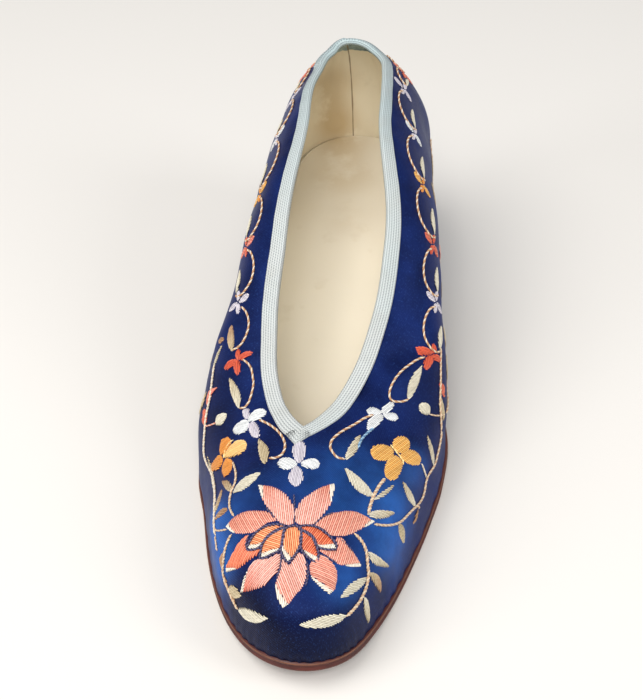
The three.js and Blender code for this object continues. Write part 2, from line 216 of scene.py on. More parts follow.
def skin_normal(ring, up):
    """Outward direction of that face."""
    ring, up = np.broadcast_arrays(np.asarray(ring, float), np.asarray(up, float))
    e = 1e-3
    along = skin(ring + e, up) - skin(ring - e, up)
    rise = skin(ring, np.minimum(up + e, 1)) - skin(ring, np.maximum(up - e, 0))
    n = np.cross(rise, along)
    top = np.stack([0 * up, -along[..., 2], along[..., 1]], -1)
    top = top * np.where(along[..., 1] < 0, -1.0, 1.0)[..., None]
    n = np.where((up > 0.9995)[..., None], top, n)
    tip = outline(ring)[0] < 1e-6
    return unit(np.where(tip[..., None], np.array([0.0, -1.0, 0.0]), n))


def edge_up(ring):
    """How far up the upper goes at a place round the shoe."""
    y = outline(ring)[4] / LENGTH
    return np.where(y < THROAT_AT, 1.0, collar_up(y))


def feather(ring, out=0.0):
    _, _, _, ox, oy = outline(ring)
    nx, ny = outward(ring)
    d = out - tuck(oy / LENGTH)
    return ox + nx * d, oy + ny * d, oy / LENGTH


# Creases and puckers of the satin, in millimetres: where each begins and ends, as share of the
# length, side and height share, then half width and depth; a ridge has a depth below zero
INNER, OUTER = 0, 1
CREASES = [
    (0.372, OUTER, 0.80, 0.440, OUTER, 0.58, 4.5, 0.75), (0.395, OUTER, 0.64, 0.470, OUTER, 0.40, 5.0, -0.55),
    (0.330, OUTER, 0.62, 0.400, OUTER, 0.36, 5.5, 0.45), (0.430, OUTER, 0.72, 0.520, OUTER, 0.52, 5.0, 0.40),
    (0.345, INNER, 0.58, 0.410, INNER, 0.30, 5.0, 0.50), (0.400, INNER, 0.66, 0.470, INNER, 0.40, 4.5, -0.40),
    (0.470, INNER, 0.60, 0.560, INNER, 0.30, 5.0, 0.45), (0.230, INNER, 0.42, 0.300, INNER, 0.22, 5.0, 0.40),
    (0.210, OUTER, 0.50, 0.290, OUTER, 0.26, 5.5, 0.45), (0.270, OUTER, 0.46, 0.350, OUTER, 0.24, 5.0, -0.40),
    (0.600, INNER, 0.66, 0.680, INNER, 0.34, 6.0, 0.50), (0.640, OUTER, 0.64, 0.730, OUTER, 0.30, 6.0, 0.50),
    (0.740, INNER, 0.60, 0.800, INNER, 0.30, 6.0, -0.35), (0.760, OUTER, 0.62, 0.830, OUTER, 0.34, 6.0, 0.35),
    (0.560, OUTER, 0.40, 0.640, OUTER, 0.16, 5.0, 0.40), (0.540, INNER, 0.36, 0.620, INNER, 0.14, 5.0, -0.40),
]


def side_ring(s, side):
    ring = ring_at(s)
    return 3 - ring if side == OUTER else ring


def crease_ends():
    rows = []
    for s0, side0, up0, s1, side1, up1, wide, deep in CREASES:
        a = skin(side_ring(s0, side0), up0)
        b = skin(side_ring(s1, side1), up1)
        rows.append((a, b, wide, deep))
    return rows


CREASE_LINES = crease_ends()
WAVES = [((0.13, 0.05, 0.09), 0.4), ((-0.07, 0.12, 0.05), 1.9), ((0.05, -0.09, 0.16), 3.1),
         ((0.21, 0.17, -0.08), 4.4), ((-0.16, 0.23, 0.14), 0.9)]
WAVE_HEIGHT = 0.055
SOLE_SWELL = 0.85
# Millimetres to one ring, about
RING_LONG = 205.0


def relief(p, ring, up):
    """Height of the satin over the smooth form, in millimetres."""
    h = np.zeros(p.shape[:-1])
    for a, b, wide, deep in CREASE_LINES:
        line = b - a
        t = np.clip(((p - a) @ line) / (line @ line), 0, 1)
        d = np.linalg.norm(p - (a + t[..., None] * line), axis=-1)
        h -= deep * np.exp(-(d / wide) ** 2)
    h += WAVE_HEIGHT * sum(np.sin(p @ np.array(k) + phase) for k, phase in WAVES)
    # the satin swells over the edge of the sole at the front
    low = p[..., 2] - feather_height(p[..., 1] / LENGTH)
    h += SOLE_SWELL * np.exp(-((low - 1.5) / 5.0) ** 2) * np.clip((130 - p[..., 1]) / 40, 0, 1)
    # pulled over the toe and held down at the sole
    around = ring * RING_LONG
    pleat = np.sin(around * 0.82 + 1.7 * np.sin(around * 0.13)) * np.exp(-low / 3.5)
    h += 0.16 * pleat * np.exp(-np.clip(p[..., 1] - 40, 0, None) / 60)
    # gathered under the stitches of the braid
    top = edge_up(ring)
    near = np.exp(-np.clip((top - up) * 62 - BRAID_WIDTH, 0, None) / 2.6)
    h += 0.10 * near * np.sin(around * 1.35 + 0.9 * np.sin(around * 0.31)) * (top < 0.99)
    return h


def cloth(ring, up, lift=0.0):
    """A point of the satin, lifted off it by so many millimetres."""
    p = skin(ring, up)
    n = skin_normal(ring, up)
    return p + n * (relief(p, ring, up) + lift)[..., None]


# Meshes
def grid_quads(n, m, closed=False, first=0):
    i, r = np.meshgrid(np.arange(n if closed else n - 1), np.arange(m - 1), indexing="ij")
    i, r = i.ravel(), r.ravel()
    j = (i + 1) % n
    return np.stack([i * m + r, i * m + r + 1, j * m + r + 1, j * m + r], -1) + first


def piece(name, verts, quads, mat, uv=None, tint=None, replaces=(), weld=0.0):
    """A named object of the shoe, made of quads, with its material."""
    verts = np.asarray(verts, float).reshape(-1, 3)
    quads = np.asarray(quads)
    me = bpy.data.meshes.new(name)
    me.vertices.add(len(verts))
    me.vertices.foreach_set("co", ((verts + TO_ROW) * 0.001).ravel())
    me.loops.add(quads.size)
    me.loops.foreach_set("vertex_index", quads.ravel().astype(np.int32))
    me.polygons.add(len(quads))
    me.polygons.foreach_set("loop_start", (np.arange(len(quads)) * 4).astype(np.int32))
    me.update(calc_edges=True)
    if uv is not None:
        layer = me.uv_layers.new(name="Cloth")
        layer.data.foreach_set("uv", np.asarray(uv, float).reshape(-1, 2)[quads.ravel()].ravel())
    if tint is not None:
        layer = me.color_attributes.new("Thread", "FLOAT_COLOR", "POINT")
        rgba = np.concatenate([np.asarray(tint).reshape(-1, 3), np.ones((len(verts), 1))], -1)
        layer.data.foreach_set("color", rgba.ravel())
    if weld:
        bm = bmesh.new()
        bm.from_mesh(me)
        bmesh.ops.remove_doubles(bm, verts=bm.verts, dist=weld * 0.001)
        bm.to_mesh(me)
        bm.free()
    me.polygons.foreach_set("use_smooth", np.ones(len(me.polygons), bool))
    me.update()
    me.materials.append(mat)
    ob = bpy.data.objects.new(name, me)
    bpy.context.scene.collection.objects.link(ob)
    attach(ob, "root")
    if replaces:
        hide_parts(*replaces)
    return ob


def settle(ring, up, aim, target, turns=9):
    """Walks over the upper until aim gives target there. Crosses the ridge where it has to."""
    e = 1e-4
    for _ in range(turns):
        q = aim(skin(ring, up))
        dr = (aim(skin(ring + e, up)) - q) / e
        du = (aim(skin(ring, up - e)) - q) / -e
        r = target - q
        det = dr[..., 0] * du[..., 1] - dr[..., 1] * du[..., 0]
        det = np.where(np.abs(det) < 1e-3, 1e-3, det)
        ring = ring + np.clip((du[..., 1] * r[..., 0] - du[..., 0] * r[..., 1]) / det, -0.05, 0.05)
        up = up + np.clip((dr[..., 0] * r[..., 1] - dr[..., 1] * r[..., 0]) / det, -0.1, 0.1)
        over = up > 1
        ring = np.where(over, 3 - np.mod(ring, 3), np.mod(ring, 3))
        up = np.clip(np.where(over, 2 - up, up), 0.002, 1)
    return ring, up


def dot(a, b):
    return (a * b).sum(-1)


# The viewing place, in millimetres from the toe tip, and the angles of the view in degrees
EYE = np.array([45.398, -239.829, 343.065])
VIEW_TURN, VIEW_DOWN, VIEW_ROLL = 0.919, 41.845, 0.569
# The pattern's drawing has its own units: this many for a millimetre at a metre, and its middle
DRAWN_AT = 1518.05
DRAWN_MIDDLE = np.array([321.5, 350.0])


def view_axes():
    a, e, r = np.radians([VIEW_TURN, VIEW_DOWN, VIEW_ROLL])
    ahead = np.array([-np.sin(a) * np.cos(e), np.cos(a) * np.cos(e), -np.sin(e)])
    level = np.array([np.cos(a), np.sin(a), 0.0])
    over = np.cross(level, ahead)
    return ahead, np.cos(r) * level + np.sin(r) * over, -np.sin(r) * level + np.cos(r) * over


AHEAD, ACROSS, OVER = view_axes()


def seen(p):
    d = p - EYE
    z = d @ AHEAD
    return DRAWN_MIDDLE + DRAWN_AT * np.stack([d @ ACROSS / z, -(d @ OVER) / z], -1)


def facing(ring, up):
    return dot(unit(EYE - skin(ring, up)), skin_normal(ring, up))


def seen_places():
    r, u = np.meshgrid(np.linspace(0.02, 2.98, 297), np.linspace(0.02, 0.98, 49), indexing="ij")
    r, u = r.ravel(), u.ravel()
    on = (u < edge_up(r)) & (facing(r, u) > WELL_SEEN + 0.07)
    return r[on], u[on], seen(skin(r[on], u[on]))


WELL_SEEN = 0.30
SEEN_RING, SEEN_UP, SEEN_AT = seen_places()


def chart(points):
    """Places on the upper, as ring and up, that lie under these points of the drawing. Points at
    the very edge of the view are drawn in to where the satin is well seen."""
    aim = np.array(np.atleast_2d(points), float)
    near = np.array([np.argmin(((SEEN_AT - q) ** 2).sum(-1)) for q in aim])
    for _ in range(7):
        ring, up = settle(SEEN_RING[near], SEEN_UP[near], seen, aim, 10)
        off = np.linalg.norm(seen(skin(ring, up)) - aim, axis=-1)
        bad = (facing(ring, up) < WELL_SEEN) | (off > 0.6)
        if not bad.any():
            break
        aim[bad] += (SEEN_AT[near][bad] - aim[bad]) * 0.3
    return ring, up


def evened(values, turns):
    """Evens out a row of numbers, its ends kept."""
    v = values.copy()
    for _ in range(turns):
        v[1:-1] = 0.5 * v[1:-1] + 0.25 * (v[:-2] + v[2:])
    return v


# Materials
def colour(r, g, b):
    """A colour given as it looks, 0 to 255, as linear light."""
    c = np.array([r, g, b]) / 255
    return np.where(c <= 0.04045, c / 12.92, ((c + 0.055) / 1.055) ** 2.4)


class Look:
    """A material and short ways to add nodes to it."""

    def __init__(self, name, base, **settings):
        self.mat = bpy.data.materials.new(name)
        self.mat.use_nodes = True
        self.tree = self.mat.node_tree
        self.shader = self.tree.nodes["Principled BSDF"]
        self.shader.inputs["Base Color"].default_value = (*base, 1)
        for key, value in settings.items():
            self.shader.inputs[key.replace("_", " ")].default_value = value

    def add(self, kind, outputs=None, settings=(), **links):
        n = self.tree.nodes.new("ShaderNode" + kind)
        for key, value in dict(settings).items():
            setattr(n, key, value)
        for key, value in links.items():
            socket = n.inputs[int(key[1:])] if key[0] == "i" and key[1:].isdigit() else n.inputs[key.replace("_", " ")]
            if isinstance(value, bpy.types.NodeSocket):
                self.tree.links.new(value, socket)
            else:
                socket.default_value = value
        return n.outputs[outputs or 0]

    def uv(self, scale=(1.0, 1.0, 1.0)):
        at = self.add("UVMap", settings={"uv_map": "Cloth"})
        return self.add("Mapping", Vector=at, Scale=scale)

    def place(self, scale=(1.0, 1.0, 1.0)):
        at = self.add("TexCoord", "Object")
        return self.add("Mapping", Vector=at, Scale=scale)

    def noise(self, at, scale, detail=4.0, rough=0.55):
        return self.add("TexNoise", "Fac", Vector=at, Scale=scale, Detail=detail, Roughness=rough)

    def ramp(self, value, low, high, to=(0.0, 1.0)):
        return self.add("MapRange", Value=value, From_Min=low, From_Max=high, To_Min=to[0], To_Max=to[1])

    def math(self, op, a, b=0.0):
        return self.add("Math", settings={"operation": op}, i0=a, i1=b)

    def mix(self, share, a, b, blend="MIX"):
        def rgba(v):
            return v if isinstance(v, bpy.types.NodeSocket) else (*v, 1)
        return self.add("Mix", 2, settings={"data_type": "RGBA", "blend_type": blend},
                        i0=share, i6=rgba(a), i7=rgba(b))

    def bump(self, height, strength, distance, under=None):
        extra = {"Normal": under} if under is not None else {}
        return self.add("Bump", Strength=strength, Distance=distance, Height=height, **extra)

    def spot(self, place, reach, strength):
        """A soft round patch about a place given in millimetres from the toe tip."""
        at = self.add("TexCoord", "Object")
        far = self.add("VectorMath", "Value", settings={"operation": "DISTANCE"}, i0=at,
                       i1=tuple((np.asarray(place) + TO_ROW) * 0.001))
        return self.add("MapRange", settings={"interpolation_type": "SMOOTHERSTEP"}, Value=far, From_Min=0.0,
                        From_Max=reach * 0.001, To_Min=strength, To_Max=0.0)

    def spots(self, rows):
        """Soft patches at places of the drawing: where, reach in millimetres, strength."""
        total = 0.0
        for where, reach, strength in rows:
            ring, up = chart([where])
            total = self.math("ADD", self.spot(skin(ring, up)[0], reach, strength), total)
        return total

    def set(self, **links):
        for key, value in links.items():
            self.tree.links.new(value, self.shader.inputs[key.replace("_", " ")])
        return self.mat


# Painted highlights where the satin's sheen shows, and painted shade where it lies dark: place in the drawing, reach,
# strength
PAINTED_SHEEN = [((70, 553), 19.0, 0.95), ((84, 585), 12.0, 0.5), ((208, 586), 14.0, 0.55), ((258, 540), 22.0, 0.75),
         ((262, 500), 20.0, 0.40), ((222, 466), 16.0, 0.30), ((178, 480), 20.0, 0.28), ((104, 500), 15.0, 0.22),
         ((205, 508), 14.0, 0.25), ((284, 470), 12.0, 0.40), ((62, 520), 12.0, 0.45)]
PAINTED_SHADE = [((150, 668), 34.0, 1.0), ((96, 634), 22.0, 0.90), ((236, 652), 22.0, 0.6), ((78, 400), 20.0, 0.55),
        ((66, 440), 16.0, 0.40), ((118, 330), 22.0, 0.35), ((296, 400), 22.0, 0.35), ((250, 596), 10.0, 0.5)]


def satin_look(wear_and_painted_light=True):
    k = Look("navy_satin" if wear_and_painted_light else "heel_satin", colour(18, 33, 86), Roughness=0.40, Metallic=0.30,
             Anisotropic=0.4,
             Specular_IOR_Level=0.28)
    k.shader.inputs["Specular Tint"].default_value = (*colour(130, 165, 235), 1)
    at = k.uv()
    cloud = k.noise(k.place(), 60.0, 5.0, 0.6)
    base = k.mix(k.ramp(cloud, 0.36, 0.68), colour(14, 24, 68), colour(22, 40, 100))
    if wear_and_painted_light:
        # on the upper's satin: painted highlights of its sheen in a lighter blue, then painted shade in near black
        # where it lies dark
        shine = k.math("MULTIPLY", k.spots(PAINTED_SHEEN), k.ramp(k.noise(k.place(), 130.0, 4.0, 0.6), 0.25, 0.62,
                                                          (0.45, 1.0)))
        base = k.mix(shine, base, colour(48, 110, 196))
        base = k.mix(k.spots(PAINTED_SHADE), base, colour(14, 13, 36))
    speck = k.noise(at, 1.5, 3.0, 0.8)
    lit = k.mix(k.ramp(speck, 0.55, 0.72, (0.0, 0.45)), base, colour(56, 90, 156))
    twill = k.add("TexWave", "Fac", settings={"wave_type": "BANDS", "bands_direction": "DIAGONAL"},
                  Vector=at, Scale=0.80, Distortion=0.5, Detail=1.0, Detail_Scale=2.0)
    shade = k.mix(k.ramp(twill, 0.2, 0.9, (0.20, 0.0)), lit, colour(8, 12, 36))
    slub = k.noise(k.uv((0.25, 2.6, 1.0)), 1.0, 3.0)
    fine = k.bump(twill, 0.25, 0.00010)
    soft = k.bump(slub, 0.25, 0.00012, fine)
    return k.set(Base_Color=shade, Normal=soft, Roughness=k.ramp(cloud, 0.3, 0.7, (0.34, 0.50)))


def thread_look(name, rough=0.42):
    k = Look(name, (0.5, 0.5, 0.5), Sheen_Weight=0.12, Sheen_Roughness=0.4, Roughness=rough,
             Specular_IOR_Level=0.4)
    tint = k.add("Attribute", "Color", settings={"attribute_name": "Thread"})
    grime = k.noise(k.place(), 420.0, 3.0)
    wear_and_painted_light = k.mix(k.ramp(grime, 0.35, 0.7, (0.16, 0.0)), tint, (0.42, 0.36, 0.28), "MULTIPLY")
    fibre = k.noise(k.place(), 3800.0, 2.0)
    return k.set(Base_Color=wear_and_painted_light, Normal=k.bump(fibre, 0.3, 0.00006))


def braid_look():
    k = Look("ice_braid", colour(222, 228, 228), Roughness=0.55, Sheen_Weight=0.15)
    at = k.uv()
    along = k.add("SeparateXYZ", 0, Vector=at)
    across = k.add("SeparateXYZ", 1, Vector=at)
    # each cord is knitted, its loops half a step on from its neighbour's
    cord = k.math("FLOOR", k.math("DIVIDE", across, BRAID_CORD))
    step = k.math("ADD", k.math("DIVIDE", along, 0.90), k.math("MULTIPLY", cord, 0.5))
    loop = k.math("ABSOLUTE", k.math("SINE", k.math("MULTIPLY", step, math.pi)))
    place = k.math("ABSOLUTE", k.math("SINE", k.math("MULTIPLY", k.math("DIVIDE", across, BRAID_CORD),
                                                     math.pi)))
    # painted shade in the grooves between the cords and between the knitted loops
    painted_groove_shade = k.math("MULTIPLY", k.ramp(place, 0.25, 0.85, (1.0, 0.0)), k.ramp(loop, 0.2, 0.95, (1.0, 0.12)))
    # cooler and a little faded round the heel, whiter at the front
    y = k.add("SeparateXYZ", 1, Vector=k.add("TexCoord", "Object"))
    cool = k.math("ADD", k.ramp(y, -0.02, 0.10, (0.0, 0.75)), k.ramp(k.noise(k.place(), 22.0, 3.0), 0.4, 0.65,
                                                                     (-0.15, 0.2)))
    silk = k.mix(cool, colour(206, 209, 206), colour(176, 198, 200))
    grime = k.mix(k.ramp(k.noise(k.place(), 160.0, 4.0), 0.48, 0.8, (0.0, 0.35)), silk, colour(184, 182, 172))
    dark = k.mix(k.math("MULTIPLY", painted_groove_shade, 0.95), grime, colour(62, 76, 86))
    seam = 0.0
    for back in (0.0, 0.7, 1.4):
        seam = k.math("MAXIMUM", k.spot(mitre_place() + np.array([0.0, back, 0.0]), 0.42, 0.8), seam)
    dark = k.mix(seam, dark, colour(96, 92, 90))
    height = k.math("ADD", loop, k.math("MULTIPLY", place, 1.4))
    return k.set(Base_Color=dark, Normal=k.bump(height, 0.6, 0.00022))


def mitre_place():
    """The stitched mitre at the collar's point."""
    s = THROAT_AT - 2.4 / LENGTH
    return skin(ring_at(s), 1.0) + np.array([-0.3, 0.0, 1.1])


# Stains of the lining and sock: place in millimetres from the toe tip, reach, strength
STAINS = [((-7.0, 221.0, 62.0), 16.0, 0.75), ((-6.0, 219.0, 48.0), 14.0, 0.80),
          ((-4.0, 214.0, 40.0), 17.0, 0.65),
          ((-2.0, 196.0, 38.0), 20.0, 0.45), ((22.0, 205.0, 44.0), 14.0, 0.25),
          ((18.0, 214.0, 74.0), 9.0, 0.35),
          ((-14.0, 148.0, 22.0), 8.0, 0.20), ((2.0, 172.0, 32.0), 15.0, 0.20)]


def lining_look(name, base, facing):
    k = Look(name, base, Roughness=0.80, Sheen_Weight=0.12)
    fine = k.add("TexWave", "Fac", settings={"wave_type": "BANDS", "bands_direction": "X"},
                 Vector=k.uv(), Scale=1.1, Distortion=0.8, Detail=1.0)
    cross = k.add("TexWave", "Fac", settings={"wave_type": "BANDS", "bands_direction": "Y"},
                  Vector=k.uv(), Scale=1.1, Distortion=0.8, Detail=1.0)
    weave = k.math("MULTIPLY", fine, cross)
    at = k.place()
    cloud = k.noise(at, 60.0, 5.0, 0.6)
    total = 0.0
    for where, reach, strength in STAINS:
        total = k.math("ADD", k.spot(where, reach, strength), total)
    stain = k.math("MULTIPLY", total, k.ramp(cloud, 0.34, 0.52))
    aged = k.mix(stain, base, colour(198, 172, 124))
    spots = k.ramp(k.noise(at, 95.0, 3.0), 0.62, 0.76, (0.0, 0.22))
    look = k.mix(spots, aged, colour(196, 178, 140))
    look = k.mix(k.ramp(k.noise(at, 11.0, 3.0), 0.42, 0.62, (0.0, 0.22)), look, colour(216, 204, 188))
    if facing:
        # a blue silk facing at the top of the heel, wrinkled, and the seam at the back
        spot_at = k.add("TexCoord", "Object")
        x = k.add("SeparateXYZ", 0, Vector=spot_at)
        y = k.add("SeparateXYZ", 1, Vector=spot_at)
        down = k.math("ABSOLUTE", k.add("SeparateXYZ", 0, Vector=k.uv()))
        wavy = k.math("ADD", down, k.ramp(k.noise(at, 140.0, 2.0), 0.3, 0.7, (-0.8, 0.8)))
        at_heel = k.ramp(y, 0.075, 0.094)
        band = k.math("MULTIPLY", k.ramp(wavy, FACING_DEEP - 0.25, FACING_DEEP + 0.25, (1.0, 0.0)), at_heel)
        silk = k.mix(k.ramp(k.noise(at, 260.0, 4.0, 0.65), 0.36, 0.66), colour(98, 122, 124),
                     colour(176, 198, 196))
        look = k.mix(band, look, silk)
        seam_x = float((skin(SEAM_RING, 0.6) + TO_ROW)[0] * 0.001)
        line = k.math("ABSOLUTE", k.math("SUBTRACT", x, seam_x))
        line = k.math("ADD", line, k.ramp(k.noise(at, 90.0, 2.0), 0.3, 0.7, (-0.0001, 0.0002)))
        line = k.math("MULTIPLY", k.ramp(line, 0.00008, 0.00032, (0.8, 0.0)), k.ramp(y, 0.06, 0.08))
        look = k.mix(line, look, colour(120, 92, 58))
    under = k.bump(weave, 0.2, 0.0001)
    return k.set(Base_Color=look, Normal=k.bump(k.noise(at, 130.0, 4.0), 0.25, 0.0006, under))


def leather_look(name, base, edge, rough):
    k = Look(name, base, Roughness=rough)
    at = k.place()
    grain = k.add("TexVoronoi", "Distance", Vector=at, Scale=1300.0)
    cloud = k.noise(at, 140.0, 5.0, 0.65)
    tone = k.mix(k.ramp(cloud, 0.35, 0.7), base, edge)
    fleck = k.mix(k.ramp(k.noise(at, 520.0, 3.0, 0.7), 0.55, 0.75, (0.0, 0.6)), tone, colour(40, 16, 14))
    return k.set(Base_Color=fleck, Normal=k.bump(grain, 0.2, 0.0002),
                 Roughness=k.ramp(cloud, 0.3, 0.7, (rough - 0.1, rough + 0.15)))


SEAM_RING = 1.468
LINING_DEPTH, LINING_TOP = 1.95, 1.0
LINING_STEPS = 40
FACING_DEEP = 9.6
BRAID_CORD = 0.80
SATIN = satin_look()
BRAID = braid_look()
HEEL_SATIN = satin_look(wear_and_painted_light=False)
SOCK = lining_look("cream_sock", colour(242, 234, 216), facing=False)
LINING = lining_look("cream_lining", colour(248, 238, 212), facing=True)
SOLE = leather_look("brown_leather", colour(66, 24, 20), colour(98, 40, 30), 0.5)
EDGE = leather_look("leather_edge", colour(118, 72, 48), colour(88, 48, 34), 0.6)
TREAD = leather_look("tread_leather", colour(150, 112, 78), colour(120, 84, 58), 0.6)
SILK = thread_look("silk_thread")
CORD = thread_look("couched_cord", 0.5)


# Satin of the upper
RING_STEPS, UP_STEPS = 340, 62


def both_sides(half):
    return np.concatenate([half, (3 - half[::-1])[1:]])


def shoe_rings(half):
    """Places round the shoe, the same on both sides, with the throat and the heel corners on them."""
    a = np.linspace(0, float(ring_at(THROAT_AT)), int(half * 0.40))
    b = np.linspace(float(ring_at(THROAT_AT)), 1.0, int(half * 0.42))[1:]
    c = np.linspace(1.0, 1.5, int(half * 0.18))[1:]
    return both_sides(np.concatenate([a, b, c]))


def unrolled(p, ring):
    """Cloth coordinates in millimetres: across from the ridge, and along the shoe."""
    across = np.zeros(p.shape[:2])
    across[:, :-1] = np.cumsum(np.linalg.norm(np.diff(p, axis=1), axis=-1)[:, ::-1], axis=1)[:, ::-1]
    across *= np.where(ring < 1.5, -1.0, 1.0)[:, None]
    run = run_of(p[:, -1])
    run = np.minimum(run, run[-1] - run)
    return np.stack([across, np.repeat(run[:, None], p.shape[1], 1)], -1)


def make_upper():
    ring = shoe_rings(RING_STEPS)
    top = edge_up(ring)
    share = np.linspace(0, 1, UP_STEPS) ** 0.92
    up = top[:, None] * share[None, :]
    rr = np.repeat(ring[:, None], UP_STEPS, 1)
    p = cloth(rr, up)
    p[:, 0, 2] -= 0.25
    quads = grid_quads(len(ring), UP_STEPS)
    piece("upper_satin", p, quads, SATIN, unrolled(p, ring), replaces=["upper"], weld=0.002)


def make_lining():
    ring = shoe_rings(230)
    top = edge_up(ring)
    share = np.linspace(0.012, 1, LINING_STEPS)
    up = top[:, None] * share[None, :]
    rr = np.repeat(ring[:, None], LINING_STEPS, 1)
    p = skin(rr, up)
    n = skin_normal(rr, up)
    around = rr * RING_LONG
    # loose silk: shallow puckers that run up from the sock, and a sewn seam at the back
    pucker = np.sin(around * 0.42 + 1.4 * np.sin(around * 0.11) + 2.2 * up)
    pucker += 0.6 * np.sin(around * 0.91 + 3.0 * up + np.sin(around * 0.2))
    from_seam = (rr - SEAM_RING) * 100.0
    seam = np.exp(-(from_seam * 1.6) ** 2) * (0.8 + 0.2 * np.sin(up * 60))
    drawn_in = np.sin(up * 38 + 1.3 * from_seam) * np.exp(-np.abs(from_seam) / 3.0) * (from_seam > 0)
    rise = np.clip((share - 0.25) / 0.75, 0, 1)[None, :]
    depth = LINING_DEPTH - (LINING_DEPTH - LINING_TOP) * rise * rise * (3 - 2 * rise)
    depth = depth + 0.16 * pucker * np.sin(np.pi * share)[None, :] + 0.45 * seam + 0.22 * drawn_in
    # the facing at the top lies over the lining, whose edge stands off a little
    down = np.cumsum(np.linalg.norm(np.diff(p, axis=1), axis=-1)[:, ::-1], axis=1)[:, ::-1]
    down = np.concatenate([down, np.zeros((len(ring), 1))], 1)
    depth = depth + 0.30 * np.exp(-((down - FACING_DEEP - 0.6) / 0.7) ** 2)
    p = p - n * depth[..., None]
    x, y, s = feather(ring, -LINING_DEPTH)
    foot = np.stack([x, y, feather_height(s) + 0.4], -1)[:, None]
    p = np.concatenate([foot, p], 1)
    rr = np.concatenate([rr[:, :1], rr], 1)
    uv = np.abs(unrolled(p, ring))
    quads = grid_quads(len(ring), LINING_STEPS + 1)[:, ::-1]
    piece("upper_lining", p, quads, LINING, uv, weld=0.002)


# Braid round the collar
BRAID_CURVE = [(4.55, 0.02), (4.62, 0.35), (4.45, 0.66), (3.6, 0.80), (2.3, 0.84), (0.9, 0.86), (0.0, 0.82),
               (-0.50, 0.35), (-0.66, -0.45), (-0.46, -1.10), (0.1, -1.44), (0.8, -1.50), (1.3, -1.40),
               (1.4, -1.0)]
CORD_SWELL = 0.26
# share that the braid loses in width towards the heel, and how far its point leans
SLIMMER = 0.26
POINT_LEAN = 1.3
# where the braid's ends lap, as a share of the length, and for how many millimetres
LAP_AT, LAP_LONG = 0.868, 16.0


def smooth_line(points, step, closed=False):
    """Points on a smooth curve through these, so many millimetres apart."""
    p = np.asarray(points, float)
    if closed:
        ext = np.concatenate([p[-1:], p, p[:2]])
    else:
        ext = np.concatenate([2 * p[:1] - p[1:2], p, 2 * p[-1:] - p[-2:-1]])
    out = []
    for i in range(len(ext) - 3):
        a, b, c, d = ext[i:i + 4]
        t = np.linspace(0, 1, 14, endpoint=False)[:, None]
        out.append(0.5 * (2 * b + (c - a) * t + (2 * a - 5 * b + 4 * c - d) * t ** 2
                          + (3 * b - a - 3 * c + d) * t ** 3))
    out = np.concatenate(out + [ext[-2:-1]])
    run = run_of(out)
    n = max(int(round(run[-1] / step)), 2)
    at = np.linspace(0, run[-1], n + 1)
    return np.stack([np.interp(at, run, out[:, k]) for k in range(out.shape[1])], -1)


